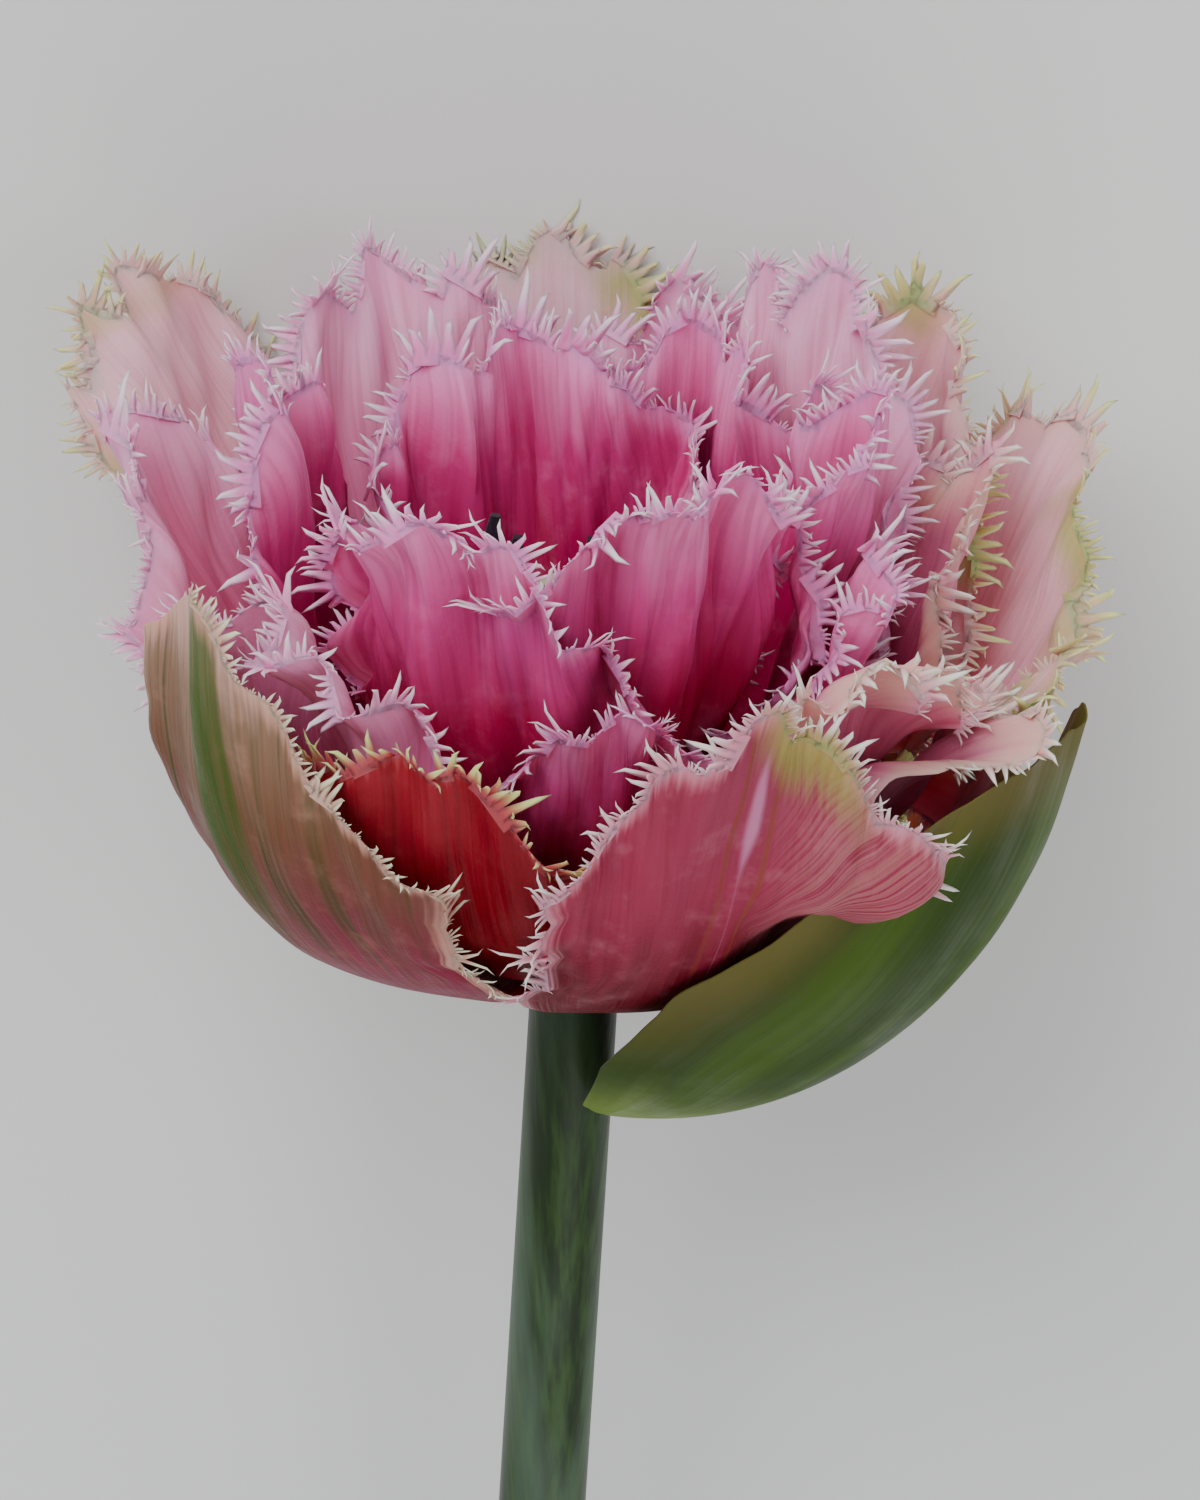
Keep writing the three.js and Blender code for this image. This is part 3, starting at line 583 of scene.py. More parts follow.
def fringe_tree():
    """Toothed hands along a margin line, grown out of the blade that comes in with it."""
    tree, ids, enter, leave = new_tree("toothed fringe", {
        "Hands": ("Collection", None), "Hand spacing": ("Float", 0.0022), "Hand size": ("Float", 1.0),
        "Splay": ("Float", 0.3), "Seed": ("Int", 1), "Skin": ("Material", None)})
    margin, reach, out, face = (
        add_node(tree, "GeometryNodeInputNamedAttribute", {"data_type": kind}, {"Name": name})
        for name, kind in (("margin", "FLOAT"), ("reach", "FLOAT"),
                           ("out", "FLOAT_VECTOR"), ("face", "FLOAT_VECTOR")))
    seed = enter.outputs["Seed"]
    growth, pick, lean = (
        add_node(tree, "FunctionNodeRandomValue", {"data_type": kind},
                 {"Min": low, "Max": high, "Seed": total(tree, seed, shift)})
        for kind, low, high, shift in (
            ("FLOAT", 0.65, 1.3, 3), ("INT", 0, len(HANDS) - 1, 7),
            ("FLOAT_VECTOR", (-1, -0.8, -0.6), (1, 0.8, 0.6), 0)))

    parts = add_node(tree, "GeometryNodeSeparateGeometry", {"domain": "POINT"},
                     {"Geometry": enter.outputs["Geometry"], "Selection": margin})
    line = add_node(tree, "GeometryNodeMeshToCurve", None, {"Mesh": parts.outputs[0]})
    dots = add_node(tree, "GeometryNodeResampleCurve", {"mode": "LENGTH"},
                    {"Curve": line, "Length": enter.outputs["Hand spacing"]})
    hands = add_node(tree, "GeometryNodeCollectionInfo", None, {
        "Collection": enter.outputs["Hands"], "Separate Children": True, "Reset Children": True})
    stand = add_node(tree, "FunctionNodeAlignRotationToVector", {"axis": "Z"}, {"Vector": out})
    stand = add_node(tree, "FunctionNodeAlignRotationToVector", {"axis": "Y", "pivot_axis": "Z"},
                     {"Rotation": stand, "Vector": face})
    lean = add_node(tree, "ShaderNodeVectorMath", {"operation": "SCALE"},
                    {"Vector": lean, "Scale": enter.outputs["Splay"]})
    turn = add_node(tree, "FunctionNodeEulerToRotation", None, (lean,))
    stand = add_node(tree, "FunctionNodeRotateRotation", {"rotation_space": "LOCAL"},
                     {"Rotation": stand, "Rotate By": turn})
    size = product(tree, reach, growth, enter.outputs["Hand size"])
    grown = add_node(tree, "GeometryNodeInstanceOnPoints", None, {
        "Points": dots, "Instance": hands, "Pick Instance": True, "Instance Index": pick,
        "Rotation": stand, "Scale": add_node(tree, "ShaderNodeCombineXYZ", None, (size, size, size))})
    real = add_node(tree, "GeometryNodeRealizeInstances", None, {"Geometry": grown})
    # Hands that would sink into the surface bend along it instead: a height z becomes
    # half of z + sqrt(z squared + soft squared).
    position = add_node(tree, "GeometryNodeInputPosition")
    x, y, z = add_node(tree, "ShaderNodeSeparateXYZ", None, (position,)).outputs
    root = add_node(tree, "ShaderNodeMath", {"operation": "SQRT"},
                    (total(tree, (z, z), (SOFT_LANDING * MM) ** 2),))
    lifted = product(tree, total(tree, z, root), 0.5)
    above = add_node(tree, "ShaderNodeCombineXYZ", None, (x, y, lifted))
    real = add_node(tree, "GeometryNodeSetPosition", None, {"Geometry": real, "Position": above})
    whole = add_node(tree, "GeometryNodeJoinGeometry")
    tree.links.new(real.outputs[0], whole.inputs[0])
    tree.links.new(parts.outputs[1], whole.inputs[0])
    soft = add_node(tree, "GeometryNodeSetShadeSmooth", None, {"Geometry": whole})
    skin = add_node(tree, "GeometryNodeSetMaterial", None,
                    {"Geometry": soft, "Material": enter.outputs["Skin"]})
    tree.links.new(skin.outputs[0], leave.inputs[0])
    return tree, ids


def sweep_tree():
    """A round rod along a line, as thick as the line says at each point."""
    tree, ids, enter, leave = new_tree("rod along a line", {
        "Sides": ("Int", 48), "Step": ("Float", 0.0015), "Skin": ("Material", None)})
    line = add_node(tree, "GeometryNodeMeshToCurve", None, {"Mesh": enter.outputs["Geometry"]})
    line = add_node(tree, "GeometryNodeResampleCurve", {"mode": "LENGTH"},
                    {"Curve": line, "Length": enter.outputs["Step"]})
    thick = add_node(tree, "GeometryNodeInputNamedAttribute", {"data_type": "FLOAT"}, {"Name": "thick"})
    ring = add_node(tree, "GeometryNodeCurvePrimitiveCircle", None,
                    {"Resolution": enter.outputs["Sides"], "Radius": 1.0})
    swept = add_node(tree, "GeometryNodeCurveToMesh", None, {
        "Curve": line, "Profile Curve": ring, "Scale": thick, "Fill Caps": True})
    soft = add_node(tree, "GeometryNodeSetShadeSmooth", None, {"Geometry": swept})
    real = add_node(tree, "GeometryNodeRealizeInstances", None, {"Geometry": soft})
    skin = add_node(tree, "GeometryNodeSetMaterial", None,
                    {"Geometry": real, "Material": enter.outputs["Skin"]})
    tree.links.new(skin.outputs[0], leave.inputs[0])
    return tree, ids


def grow(piece, tree, settings):
    """Runs a tree on a piece and keeps the result as its plain mesh."""
    modifier = piece.modifiers.new("grow", "NODES")
    modifier.node_group = tree
    for key, value in settings.items():
        modifier[key] = value
    bpy.context.view_layer.update()
    seen = piece.evaluated_get(bpy.context.evaluated_depsgraph_get())
    mesh = bpy.data.meshes.new_from_object(seen)
    piece.modifiers.remove(modifier)
    mesh.name = piece.name
    piece.data = mesh


# ---- materials ----
# Noise, in lumps a metre: mottling about 4 mm wide, green patches of 13, cells of the skin of 0.4,
# wax of 11 on the leaves, strands of 1.1 in the cut stem, clouds of 330 in the table. Fine lines:
# so many ribs and veins across a petal, so many veins and broad streaks across a leaf.
MOTTLES = 260.0
GREEN_PATCHES = 75.0
CELLS = 2500.0
WAX_PATCHES = 90.0
STRANDS = 900.0
TABLE_CLOUDS = 3.0
RIBS = 60
FAN_VEINS = 260
LEAF_VEINS = 46
LEAF_STREAKS = 9


def colour(code):
    """An sRGB hex value as linear light."""
    parts = [int(code[i:i + 2], 16) / 255 for i in (1, 3, 5)]
    return (*[c / 12.92 if c <= 0.04045 else ((c + 0.055) / 1.055) ** 2.4 for c in parts], 1.0)


def new_skin(name, roughness, **sockets):
    """A Principled material whose colour, roughness and bump come from its own nodes."""
    material = bpy.data.materials.new(name)
    material.use_nodes = True
    tree = material.node_tree
    tree.nodes.clear()
    shader = add_node(tree, "ShaderNodeBsdfPrincipled", None, {
        "Roughness": roughness, "IOR": 1.4,
        **{key.replace("_", " "): value for key, value in sockets.items()}})
    out = tree.nodes.new("ShaderNodeOutputMaterial")
    tree.links.new(shader.outputs[0], out.inputs[0])
    return material, tree, shader


def finish_skin(tree, shader, base, relief, strength, depth, roughness=None):
    """Gives a skin its colour, its relief, so many millimetres deep, and its roughness."""
    tree.links.new(base.outputs["Result"], shader.inputs["Base Color"])
    bump = add_node(tree, "ShaderNodeBump", None, {
        "Strength": strength, "Distance": depth * MM, "Height": relief})
    tree.links.new(bump.outputs[0], shader.inputs["Normal"])
    if roughness:
        tree.links.new(product(tree, roughness).outputs[0], shader.inputs["Roughness"])


def lie_of(tree):
    """Where a point is: across its piece, up it, how high as a share of its length, and in the part."""
    place = add_node(tree, "ShaderNodeAttribute", {"attribute_name": "place"}).outputs["Vector"]
    across, rise, tall = add_node(tree, "ShaderNodeSeparateXYZ", None, (place,)).outputs
    return across, rise, tall, add_node(tree, "ShaderNodeTexCoord").outputs["Object"]


def paint(tree, base, *coats):
    """Coats over a ground colour; a coat is its colour and the factors of how much of it shows."""
    for coat, *share in coats:
        base, coat = (colour(c) if isinstance(c, str) else c for c in (base, coat))
        base = add_node(tree, "ShaderNodeMix", {"data_type": "RGBA"},
                        (product(tree, *share), base, coat))
    return base


def streaks(tree, across, rise, count, stretch, seed, detail=3.0):
    """Noise drawn out from base to margin, with about so many lines across the petal."""
    spot = add_node(tree, "ShaderNodeCombineXYZ", None,
                    (product(tree, across, count / 2), product(tree, rise, stretch), seed))
    return add_node(tree, "ShaderNodeTexNoise", None, (spot, 1.0, detail))


def stray(tree, value, noise, by):
    """A value that strays either way with a noise, whose middle is a half."""
    return total(tree, value, (noise, by), -by / 2)


def distance(tree, *terms):
    """How far a sum lies from nothing, either way."""
    return add_node(tree, "ShaderNodeMath", {"operation": "ABSOLUTE"}, (total(tree, *terms),))


def face_colours(tree, height, side, *faces):
    """A petal's colours from foot to tip, other ones inside than outside."""
    ramps = []
    for stops in faces:
        ramps.append(add_node(tree, "ShaderNodeValToRGB", None, (height,)))
        elements = ramps[-1].color_ramp.elements
        while len(elements) < len(stops):
            elements.new(0.5)
        for element, (position, code) in zip(elements, stops):
            element.position = position
            element.color = colour(code)
    return paint(tree, ramps[0], (ramps[1], side))


def petal_skin(name, inside, outside, vein, margin, tip, seed, vein_depth=0.25, margin_width=3.0,
               veins=14, midrib=None, fan=None, crest=None, spindle_highlight_and_veins=None, patches=None):
    """Living tulip petal: a satin skin, finely ribbed from base to margin, that lets light through."""
    material, tree, shader = new_skin(
        name, 0.45, Specular_IOR_Level=0.15, Subsurface_Weight=0.5, Subsurface_Scale=0.0015,
        Subsurface_Radius=(1.0, 0.3, 0.35))
    across, rise, tall, spot = lie_of(tree)
    edge, side = (add_node(tree, "ShaderNodeAttribute", {"attribute_name": key}).outputs["Fac"]
                  for key in ("edge", "side"))
    broad = streaks(tree, across, rise, veins, 1.1, seed)
    fine = streaks(tree, across, rise, RIBS, 2.2, seed + 5, 2.0)
    mottle = add_node(tree, "ShaderNodeTexNoise", None, (spot, MOTTLES, 4.0, 0.6))
    near = stray(tree, edge, fine, 4.0)

    # Some of the broad streaks and every fine one are a shade darker, and the cells hold more or
    # less pigment.
    coats = [(vein, (broad, 0.5, 0.68), (tall, 0.4, 0.7, vein_depth * 0.2, vein_depth)),
             (vein, (fine, 0.46, 0.64), 0.22),
             (margin, (mottle, 0.5, 0.8, 0.0, 0.2))]
    if fan:
        # Pale veins leave the midrib one above the other and fan out to the right-hand margin.
        start = total(tree, rise, (across, -0.7))
        rays = streaks(tree, start, across, FAN_VEINS, 1.3, seed + 9, 1.0)
        coats += [(fan, (rays, 0.35, 0.65, 0.0, 0.4), (across, 0.05, 0.45), (rise, 0.35, 0.75))]
    if midrib:
        # A green band stands along the midrib, on the outside only.
        off = distance(tree, stray(tree, across, broad, 0.25))
        coats += [(midrib, (off, 0.2, 0.04, 0.0, 0.9), side, (tall, 0.3, 0.75),
                   (fine, 0.7, 0.5, 0.6, 1.0))]
    if spindle_highlight_and_veins:
        # Under the tip stands a painted highlight, a pale streak pointed at both ends, between two thin
        # ochre veins.
        highlight_streak, vein_pair = spindle_highlight_and_veins
        off = distance(tree, across, -0.02)
        half = product(tree, (tall, 0.74, 0.86), (tall, 0.97, 0.88), 0.036)
        highlight_mask = total(tree, half, (off, -1))
        beside = distance(tree, off, -0.085)
        coats += [(highlight_streak, (highlight_mask, -0.012, 0.026, 0.0, 0.7), side),
                  (vein_pair, (beside, 0.022, 0.006, 0.0, 0.6), side, (tall, 0.3, 0.55),
                   (fine, 0.65, 0.45, 0.3, 1.0))]
    # The margin pales, and the teeth pale again to their tips.
    coats += [(margin, (near, margin_width, -0.5, 0.0, 0.85))]
    if patches:
        # Here and there the margin has stayed green, as it was in the bud.
        cloud = add_node(tree, "ShaderNodeTexNoise", None, (spot, GREEN_PATCHES, 1.0))
        coats += [(patches, (cloud, 0.45, 0.6), (near, 6.0, 1.0, 0.0, 0.8))]
    if crest:
        # The very tip of the petal, over and beside the midrib, stays green.
        coats += [(crest, (across, 0.6, 0.3), (across, -0.1, 0.08), (near, 5.0, 1.0, 0.0, 0.8))]
    coats += [(tip, (edge, -0.3, -2.2))]

    base = face_colours(tree, stray(tree, tall, broad, 0.3), side, inside, outside)
    cells = add_node(tree, "ShaderNodeTexNoise", None, (spot, CELLS, 1.0))
    relief = total(tree, (broad, 0.6), fine, (cells, 0.25))
    finish_skin(tree, shader, paint(tree, base, *coats), relief, 0.45, 0.4,
                (mottle, 0.3, 0.7, 0.38, 0.55))
    return material


def leaf_skin(name, dark, light, edge_colour, bloom, seed, vein_depth=0.5, wax_depth=0.6, gloss=0.4,
              edge_width=1.6, foot=None):
    """Tulip leaf or bract: leathery green under a grey wax bloom, with veins along its length."""
    material, tree, shader = new_skin(
        name, 0.5, Specular_IOR_Level=gloss, Subsurface_Weight=0.12, Subsurface_Scale=0.001,
        Subsurface_Radius=(0.4, 1.0, 0.2))
    across, rise, _, spot = lie_of(tree)
    edge = add_node(tree, "ShaderNodeAttribute", {"attribute_name": "edge"}).outputs["Fac"]
    veins = streaks(tree, across, rise, LEAF_VEINS, 1.2, seed, 2.0)
    broad = streaks(tree, across, rise, LEAF_STREAKS, 0.8, seed + 3)
    wax = add_node(tree, "ShaderNodeTexNoise", None, (spot, WAX_PATCHES, 5.0, 0.65))
    coats = [(light, (broad, 0.35, 0.65)), (dark, (veins, 0.5, 0.64, 0.0, vein_depth))]
    if foot:
        # Low down the bract is lighter and yellower: partly its own colour, partly a painted highlight.
        coats += [(foot, (total(tree, rise, (broad, 0.3)), 0.6, 0.25, 0.0, 0.75))]
    coats += [(bloom, (wax, 0.42, 0.7, 0.05, wax_depth)),
              (edge_colour, (edge, edge_width, 0.0, 0.0, 0.8), (rise, 0.4, 0.75))]
    finish_skin(tree, shader, paint(tree, dark, *coats), total(tree, veins, (wax, 0.2)), 0.4, 0.3,
                (wax, 0.35, 0.7, 0.38, 0.6))
    return material


def stem_skin():
    """Tulip stem: smooth fleshy green with long pale streaks and patches of grey wax."""
    material, tree, shader = new_skin(
        "fleshy stem with wax bloom", 0.45, Specular_IOR_Level=0.25, Subsurface_Weight=0.1,
        Subsurface_Scale=0.0015, Subsurface_Radius=(0.4, 1.0, 0.2), Sheen_Weight=0.1)
    spot = add_node(tree, "ShaderNodeTexCoord").outputs["Object"]
    drawn = (add_node(tree, "ShaderNodeMapping", None, {"Vector": spot, "Scale": lumps})
             for lumps in ((900, 14, 900), (160, 22, 160)))
    lines, wax = (add_node(tree, "ShaderNodeTexNoise", None, (place, 1.0, 3.0, rough))
                  for place, rough in zip(drawn, (0.6, 0.5)))
    along = add_node(tree, "ShaderNodeSeparateXYZ", None, (spot,)).outputs[1]
    # Painted shade under the bloom: towards its top the stem is painted up to half way to a darker
    # green.
    neck = (along, *(at * MM for at in NECK_SHADE), 0.0, 0.5)
    # The cut end shows pale wet flesh with the ends of its strands.
    cells = add_node(tree, "ShaderNodeTexVoronoi", None, {"Vector": spot, "Scale": STRANDS})
    flesh = paint(tree, "#b7c494", ("#7f9460", (cells, 0.28, 0.16)))
    cut = (along, (STEM_CUT_AT[1] + 0.4) * MM, (STEM_CUT_AT[1] + 0.2) * MM)
    base = paint(tree, "#162408", ("#2b4516", (lines, 0.38, 0.66)),
                 ("#5a6e5e", (wax, 0.42, 0.7, 0.05, 0.55)), ("#26361f", neck), (flesh, cut))
    finish_skin(tree, shader, base, lines, 0.35, 0.2, (wax, 0.35, 0.7, 0.36, 0.55))
    return material


def grained_skin(name, low, high, tip, grain, roughness, split_at):
    """Small parts in the heart of the flower: one colour up to a height, grained above it."""
    material, tree, shader = new_skin(name, roughness, Specular_IOR_Level=0.3, Sheen_Weight=0.1)
    _, rise, _, spot = lie_of(tree)
    noise = add_node(tree, "ShaderNodeTexNoise", None, (spot, grain, 3.0, 0.7))
    base = paint(tree, low, (high, (rise, split_at - 0.03, split_at + 0.03)),
                 (tip, (noise, 0.5, 0.72, 0.0, 0.7)))
    finish_skin(tree, shader, base, noise, 0.6, 0.2)
    return material


# ---- pieces ----
def hand_over(piece, node):
    """Puts a finished piece on the root body and hides the part that it stands for."""
    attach(piece, "root")
    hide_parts(node)


def fringe_line(petal, surface, half_width, ends):
    """The line that the hands grow on, with the way, face and reach of each point's hand."""
    t, v, line, out, normal = margin_line(surface, ends)
    seed = petal["seed"]
    along = np.concatenate([[0], np.cumsum(np.linalg.norm(np.diff(line, axis=0), axis=1))])
    top_wave, side_wave = lobe_waves(petal, t * half_width, v)
    lobe = np.abs(np.where(np.abs(t) < 1, top_wave, side_wave))
    reach = 0.55 + 0.55 * lobe + 0.25 * np.sin(along / 1.3 + 2 * seed)
    reach *= mix(0.2, 1, smooth((v - FRINGE_FROM) / 0.25))
    turn = (0.45 * np.sin(along / 3.2 + 2.3 * seed) + 0.25 * np.sin(along / 1.4 + seed))[:, None]
    # Between two layers there is less room for the hands.
    covered = (np.abs(t) == 1) & (petal["layer"] < 1)
    turn = turn * np.where(covered, 0.5, 1.0)[:, None]
    return line, {
        "place": np.stack([t, v, petal_height(petal, t, v)], 1),
        "edge": np.zeros(len(line)),
        "side": np.full(len(line), 0.5),
        "out": out * np.cos(turn) + normal * np.sin(turn),
        "face": normal * np.cos(turn) - out * np.sin(turn),
        "reach": reach * np.where(covered, 0.8, 1.0),
        "margin": np.ones(len(line)),
    }


def make_petal(name, row, room, skin, seed, fringe=None):
    """A petal or the bract; a fringe is the hands, their tree, its inputs, their size and spacing."""
    short = name.removeprefix("petal_")
    petal = dict(
        zip(PETAL_FIELDS, row), seed=seed, rounded=ROUNDED["petal" if fringe else "bract"],
        roll=ROLLS.get(short, (0.3, 4)), folds=FOLDS.get(short, 1.0), lobes=LOBED.get(short, 1.0),
        opens=OPENS.get(short, 0.4), claw=CLAW.get(short, 0.0), flare=FLARE.get(short, 0.0))

    def surface(t, v):
        return petal_surface(petal, room, t, v)

    half_width = (petal["left"] + petal["right"]) / 2
    points, faces, attributes = blade(
        surface, PETAL_GRID, SHOWN_BLADE, half_width, BLADE_RISE * petal["length"])
    place = attributes["place"]
    place[:, 2] = petal_height(petal, place[:, 0], place[:, 1])
    edges = []
    if fringe:
        hands, tree, ids, size, spacing = fringe
        line, grown = fringe_line(petal, surface, half_width, FRINGED.get(short, (0, 1)))
        for key, values in grown.items():
            none = np.zeros((len(points), *values.shape[1:]))
            attributes[key] = np.concatenate([attributes.get(key, none), values])
        edges = [(len(points) + i, len(points) + i + 1) for i in range(len(line) - 1)]
        points = np.concatenate([points, line])
    piece = mesh_piece(f"{name}_blade", points, faces, attributes, edges)
    if fringe:
        grow(piece, tree, {ids["Hands"]: hands, ids["Hand spacing"]: spacing * MM,
                           ids["Hand size"]: size, ids["Seed"]: seed, ids["Skin"]: skin})
        for spare in ("out", "face", "reach", "margin"):
            if spare in piece.data.attributes:
                piece.data.attributes.remove(piece.data.attributes[spare])
    else:
        piece.data.materials.append(skin)
    hand_over(piece, name)


def make_leaf(name, leaf, skin):
    def surface(t, v):
        return leaf_surface(leaf, t, v)

    points, faces, attributes = blade(surface, LEAF_GRID, LEAF_BLADE, leaf[3], LEAF_LENGTH)
    piece = mesh_piece(f"{name}_blade", points, faces, attributes)
    piece.data.materials.append(skin)
    hand_over(piece, name)


def make_stem(tree, ids, skin):
    """The stem with the receptacle at its top, swept along one line."""
    share = np.linspace(0, 1, STEM_POINTS)
    heights, radii = zip(*RECEPTACLE)
    line = np.concatenate([[to_part(0, up, 0) for up in heights], stem_centre(share)])
    thick = np.concatenate([radii, mix(STEM_TOP_RADIUS, STEM_CUT_RADIUS, share)])
    edges = [(i, i + 1) for i in range(len(line) - 1)]
    piece = mesh_piece("stem_rod", line, (), {"thick": thick * MM}, edges)
    grow(piece, tree, {ids["Sides"]: STEM_SIDES, ids["Step"]: STEM_STEP * MM, ids["Skin"]: skin})
    hand_over(piece, "stem")


def rod(name, centres, radii, sides, skin, node, lobes):
    """A closed rod of rings on a line of centres, ROD_CUTS of them from one given to the next."""
    share = np.linspace(0, 1, len(centres))
    fine = np.linspace(0, 1, (len(centres) - 1) * ROD_CUTS + 1)
    centres = np.stack([np.interp(fine, share, np.array(centres)[:, k]) for k in range(3)], 1)
    radii = np.interp(fine, share, radii)
    along = unit(np.gradient(centres, axis=0))
    start = np.where(np.abs(along[:, :1]) < 0.9, [[1.0, 0, 0]], [[0, 1.0, 0]])
    across = unit(start - along * np.sum(start * along, axis=1, keepdims=True))
    other = np.cross(along, across)
    angle = np.linspace(0, 2 * math.pi, sides, endpoint=False)
    size = radii[:, None] * lobes(angle[None, :], fine[:, None])
    rings = (centres[:, None, :] + across[:, None, :] * (size * np.cos(angle))[..., None]
             + other[:, None, :] * (size * np.sin(angle))[..., None])
    count = len(fine)
    points = np.concatenate([rings.reshape(-1, 3), centres[:1], centres[-1:]])
    rise = np.concatenate([np.repeat(fine, sides), [0, 1]])
    faces = []
    for k in range(sides):
        near = (k + 1) % sides
        for i in range(count - 1):
            a, b = i * sides + k, i * sides + near
            faces.append((a, b, b + sides, a + sides))
        faces.append((count * sides, near, k))
        faces.append((count * sides + 1, (count - 1) * sides + k, (count - 1) * sides + near))
    place = np.stack([0 * rise, rise, 0 * rise], 1)
    piece = mesh_piece(name, points, faces, {"place": place})
    piece.data.materials.append(skin)
    hand_over(piece, node)


def make_heart(anther, pistil):
    """The pistil, three-lobed and more so at its top, and the stamens, with grooved anthers."""
    def lobes(angle, share):
        return 1 + np.where(share > 0.8, 0.24, 0.06) * np.cos(3 * angle)

    def grooves(angle, share):
        return 1 - np.where(share > 0.5, 0.22, 0.0) * np.abs(np.cos(2 * angle)) ** 6

    heights, radii = zip(*PISTIL)
    rod("pistil_body", [to_part(0, up, 0) for up in heights], radii, PISTIL_SIDES,
        pistil, "pistil", lobes)
    for number, (azimuth, top) in enumerate(zip(STAMEN_AZIMUTHS, STAMEN_HEIGHTS), 1):
        base = top - ANTHER_LENGTH
        rows = ((9.0, 2.05, FILAMENT_RADIUS), (14, 5.0, FILAMENT_RADIUS), (20, 6.6, FILAMENT_RADIUS),
                (base, 7.6, FILAMENT_RADIUS), (base + 1, 7.7, ANTHER_RADIUS * 0.85),
                (base + 5, 7.8, ANTHER_RADIUS), (top - 3, 7.4, ANTHER_RADIUS * 0.8), (top, 6.9, 0.5))
        turn = math.radians(azimuth)
        heights, outs, radii = zip(*rows)
        centres = [to_part(out * math.sin(turn), up, out * math.cos(turn))
                   for up, out in zip(heights, outs)]
        rod(f"stamen_{number}_body", centres, radii, STAMEN_SIDES, anther,
            f"stamen_{number}", grooves)


# ---- stage ----
# The camera looks down on the flower's axis at VIEW_TILT degrees and takes in VIEW_HEIGHT millimetres.
VIEW_TILT = 27
VIEW_MIDDLE = (2.5, 17.9, 0)
VIEW_DISTANCE = 600
VIEW_HEIGHT = 1500 / 11
SENSOR = 36

# Soft boxes: name, place and width in metres, power in watts.
LIGHTS = (("window", (-0.42, 0.95, 0.85), 0.9, 13.5), ("fill", (0.8, 0.1, 0.9), 0.8, 3),
          ("front", (0.2, -0.65, 0.65), 0.8, 3.6))
LIGHTS_AIM = (0.006, 0.13, 0.04)
ROOM_LIGHT = 0.62
TABLE_HALF = 3


def make_stage():
    """A pale table, soft light from the whole room and three soft boxes."""
    mesh = bpy.data.meshes.new("table")
    mesh.from_pydata([(x * TABLE_HALF, y * TABLE_HALF, 0) for x, y in
                      ((-1, -1), (1, -1), (1, 1), (-1, 1))], [], [(0, 1, 2, 3)])
    floor = bpy.data.objects.new("table", mesh)
    bpy.context.scene.collection.objects.link(floor)
    # Matt painted board: an even pale ground that takes soft shadows and shows no gloss.
    material, tree, shader = new_skin("pale matt table", 0.7, Specular_IOR_Level=0.2)
    spot = add_node(tree, "ShaderNodeTexCoord").outputs["Object"]
    noise = add_node(tree, "ShaderNodeTexNoise", None, (spot, TABLE_CLOUDS))
    base = paint(tree, "#d6d8d6", ("#dfe1df", noise))
    tree.links.new(base.outputs["Result"], shader.inputs["Base Color"])
    mesh.materials.append(material)

    world = bpy.data.worlds.new("soft room light")
    bpy.context.scene.world = world
    world.use_nodes = True
    back = next(n for n in world.node_tree.nodes if n.type == "BACKGROUND")
    back.inputs[0].default_value = colour("#e9ebed")
    back.inputs[1].default_value = ROOM_LIGHT

    for name, spot, size, power in LIGHTS:
        light = bpy.data.lights.new(name, "AREA")
        light.size = size
        light.energy = power
        lamp = bpy.data.objects.new(name, light)
        lamp.location = spot
        way = Vector(LIGHTS_AIM) - Vector(spot)
        lamp.rotation_euler = way.to_track_quat("-Z", "Y").to_euler()
        bpy.context.scene.collection.objects.link(lamp)


def make_camera():
    """A camera that sees the bloom as if it stood upright, from a little above."""
    tilt = math.radians(VIEW_TILT)
    cos, sin = math.cos(BLOOM_RISE), math.sin(BLOOM_RISE)
    up_way, front_way = Vector((0, cos, sin)), Vector((0, -sin, cos))
    back = up_way * math.sin(tilt) + front_way * math.cos(tilt)
    top = up_way * math.cos(tilt) - front_way * math.sin(tilt)
    right = top.cross(back)
    eye = Vector(to_part(*VIEW_MIDDLE) * MM) + back * (VIEW_DISTANCE * MM)
    data = bpy.data.cameras.new("camera")
    data.sensor_width = SENSOR
    data.lens = SENSOR * VIEW_DISTANCE / VIEW_HEIGHT
    data.dof.use_dof = False
    camera = bpy.data.objects.new("camera", data)
    camera.matrix_world = Matrix.Translation(eye) @ Matrix((right, top, back)).transposed().to_4x4()
    bpy.context.scene.collection.objects.link(camera)
    bpy.context.scene.camera = camera


make_stage()
make_camera()

hands = bpy.data.collections.new("hands")
for number, teeth in enumerate(HANDS):
    hand = make_hand(number, teeth)
    bpy.context.scene.collection.objects.unlink(hand)
    hands.objects.link(hand)
fringe = fringe_tree()

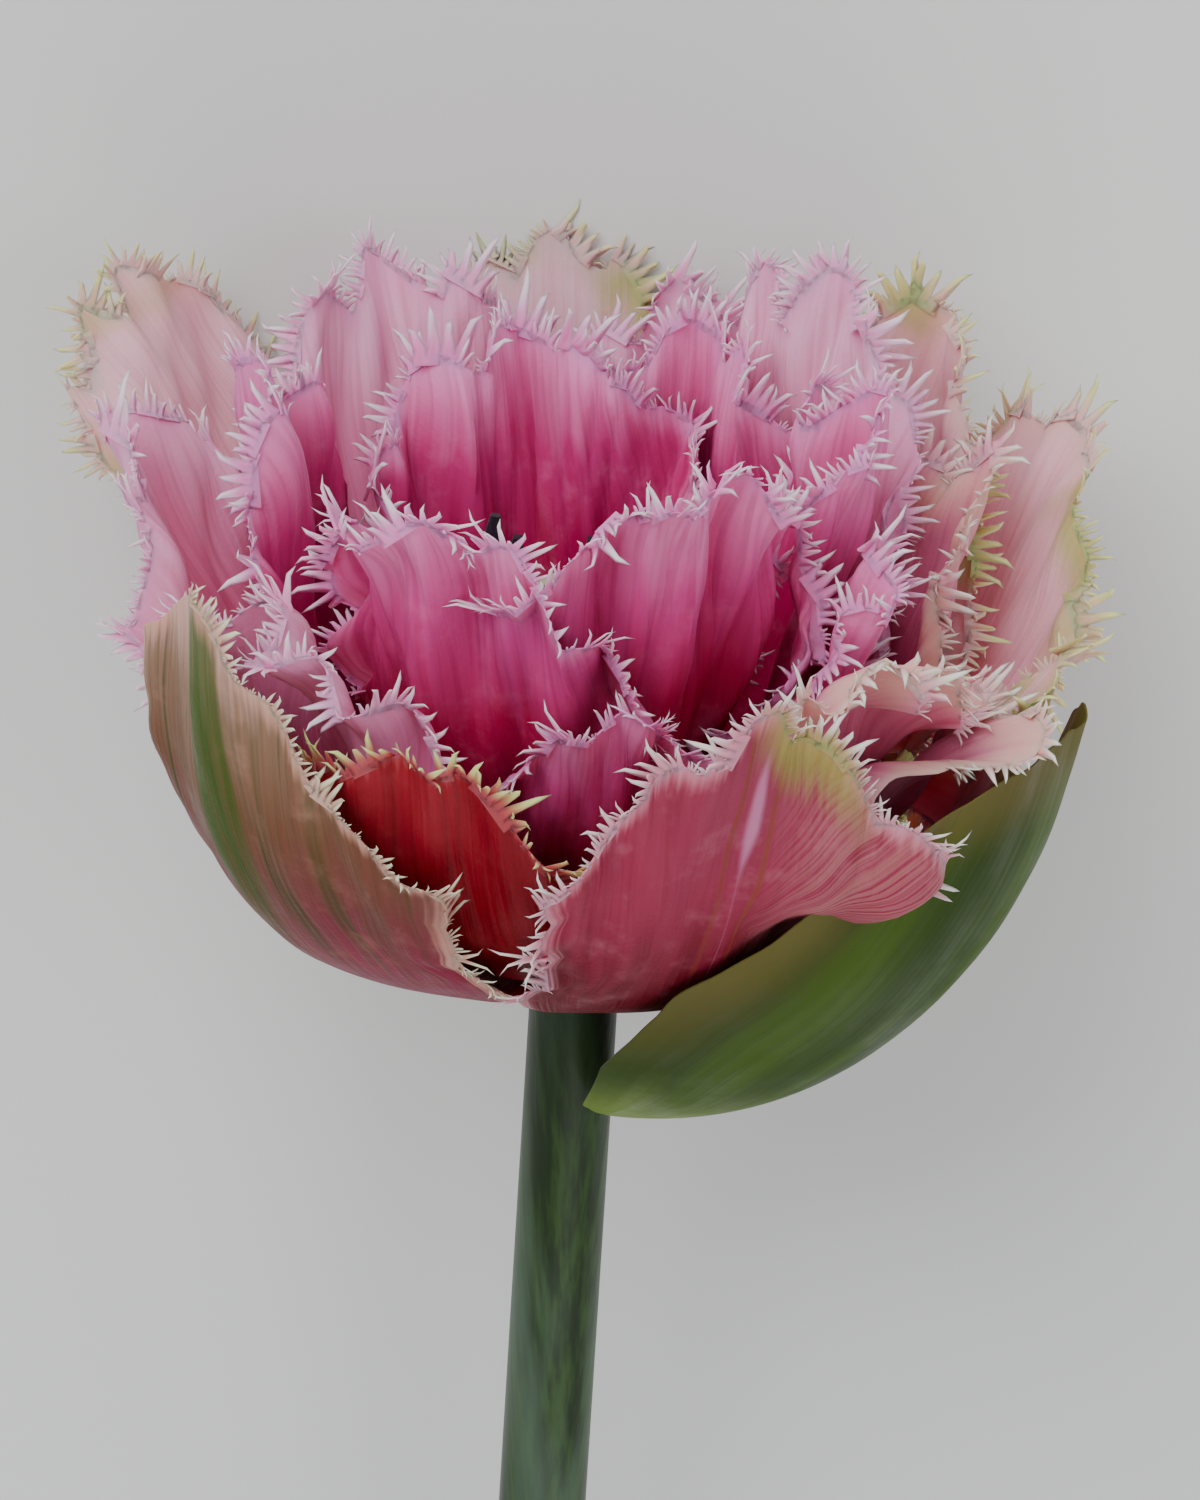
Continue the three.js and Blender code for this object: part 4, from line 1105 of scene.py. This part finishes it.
skins = {
    # Wine red below a paler margin, with a fan of pale veins, a green crest and a painted highlight
    # beside the midrib under the tip.
    "outer": petal_skin(
        "satin outer petal", ((0, "#8c1236"), (0.45, "#b03a60"), (0.8, "#cf84a0")),
        ((0, "#6c0c28"), (0.48, "#5c0818"), (0.6, "#76142c"), (0.72, "#942c4a"), (0.97, "#963c56")),
        "#7c1c30", "#d894a4", "#f6dcd8", 1.0, vein_depth=0.45, margin_width=2.0, fan="#c08c84",
        crest="#94984c", spindle_highlight_and_veins=("#cc84ac", "#804020")),
    # Pale rose, with teeth and patches of the margin that stay greenish.
    "pale": petal_skin(
        "satin pale outer petal",
        ((0, "#a02050"), (0.3, "#d06c90"), (0.6, "#f0a4bc"), (0.9, "#f8c8d4")),
        ((0, "#8a1c38"), (0.5, "#c05a76"), (0.9, "#dc9cac")),
        "#cc6c84", "#e4b8b0", "#dcdc98", 2.0, vein_depth=0.2, patches="#a4b05c"),
    # Dull purple and brown with dark green veins and a green keel.
    "keel": petal_skin(
        "satin keeled petal", ((0, "#8a2038"), (0.5, "#b3606a"), (0.9, "#c8a090")),
        ((0, "#5c0626"), (0.3, "#74163a"), (0.48, "#82203e"), (0.62, "#74383a"), (0.75, "#744c38"),
         (0.88, "#8e705c"), (0.98, "#ecbcb4")),
        "#2c3c08", "#d4a492", "#f0ebc4", 3.0, vein_depth=0.85, margin_width=2.0, veins=26,
        midrib="#365614"),
    # Deep crimson up to a thin margin, with cream teeth.
    "arch": petal_skin(
        "satin crimson petal", ((0, "#5c0818"), (0.5, "#8a1830"), (0.9, "#b3566a")),
        ((0, "#a02848"), (0.25, "#88102c"), (0.5, "#7c0414"), (0.8, "#84081c"), (0.97, "#98202e")),
        "#4c1010", "#ac4c50", "#d8dc8c", 4.0, vein_depth=0.3, margin_width=1.0),
    # Bright pink that pales towards the fringe.
    "middle": petal_skin(
        "satin pink petal",
        ((0, "#840828"), (0.3, "#b42058"), (0.55, "#e0649a"), (0.8, "#f498c4"), (0.95, "#fabcdc")),
        ((0, "#8c0c30"), (0.4, "#bc2c5c"), (0.7, "#e06ca4"), (0.95, "#f6a8d4")),
        "#a01c4c", "#f4a0c8", "#ffdcea", 5.0),
    # Crimson deep in the cup, orchid pink at the fringe; the dark crimson low down is partly the
    # petals' own colour and partly painted shade of the cup.
    "inner": petal_skin(
        "satin orchid petal",
        ((0, "#680020"), (0.45, "#80042c"), (0.7, "#a00c4c"), (0.85, "#c4347c"), (0.97, "#f08cc4")),
        ((0, "#74042a"), (0.35, "#900834"), (0.65, "#b01850"), (0.85, "#d04c94"), (0.97, "#ee8cc4")),
        "#80043c", "#f090c4", "#ffdcee", 6.0),
    # Rose red that fades to a cream-pink edge, where the margin curls.
    "edged": petal_skin(
        "satin cream-edged petal",
        ((0, "#7c0a28"), (0.4, "#ac2450"), (0.7, "#cc5080"), (0.95, "#e494b4")),
        ((0, "#840a2c"), (0.4, "#b02850"), (0.7, "#d06490"), (0.95, "#e898b4")),
        "#a02850", "#eca4b4", "#faeadc", 7.0, margin_width=2.0, patches="#e8b8a8"),
}
looks = {
    "front": "outer", "left_keel": "keel", "front_left": "arch", "front_right": "edged",
    "rolled": "edged", "side_right": "edged",
    "right": "pale", "back": "pale", "right_tip": "pale", "back_left": "pale", "back_right": "pale",
}

petals = {name: dict(zip(PETAL_FIELDS, row)) for name, row in PETALS.items()}
rooms = sectors(petals)
for number, (name, row) in enumerate(PETALS.items(), 1):
    layer = row[1]
    look = looks.get(name, "middle" if layer > 0.4 else "inner")
    make_petal(f"petal_{name}", row, rooms[name], skins[look], number,
               (hands, *fringe, *HAND_SIZES.get(name, HAND_SIZE)))

# The bract's foot colour is partly its own yellower green and partly a painted highlight.
bract_skin = leaf_skin("waxy bract", "#243804", "#3a5204", "#64582c", "#5e7630", 1.0,
                       vein_depth=0.25, wax_depth=0.1, gloss=0.15, edge_width=7.0, foot="#849a48")
make_petal("bract", BRACT, (math.pi, math.pi), bract_skin, BRACT_SEED)
for hand in list(hands.objects):
    bpy.data.objects.remove(hand)
bpy.data.collections.remove(hands)
make_stem(*sweep_tree(), stem_skin())
leaf_look = leaf_skin("waxy tulip leaf", "#2f4a32", "#4f6e4e", "#74876a", "#7f978a", 2.0)
for name, leaf in LEAVES.items():
    make_leaf(name, leaf, leaf_look)
make_heart(grained_skin("pollen on dark anther", "#c9a9b4", "#1d1020", "#3a2440", 2600.0, 0.7, 0.42),
           grained_skin("smooth green pistil", "#a9b878", "#b9c08a", "#d8d6a4", 900.0, 0.45, 0.78))
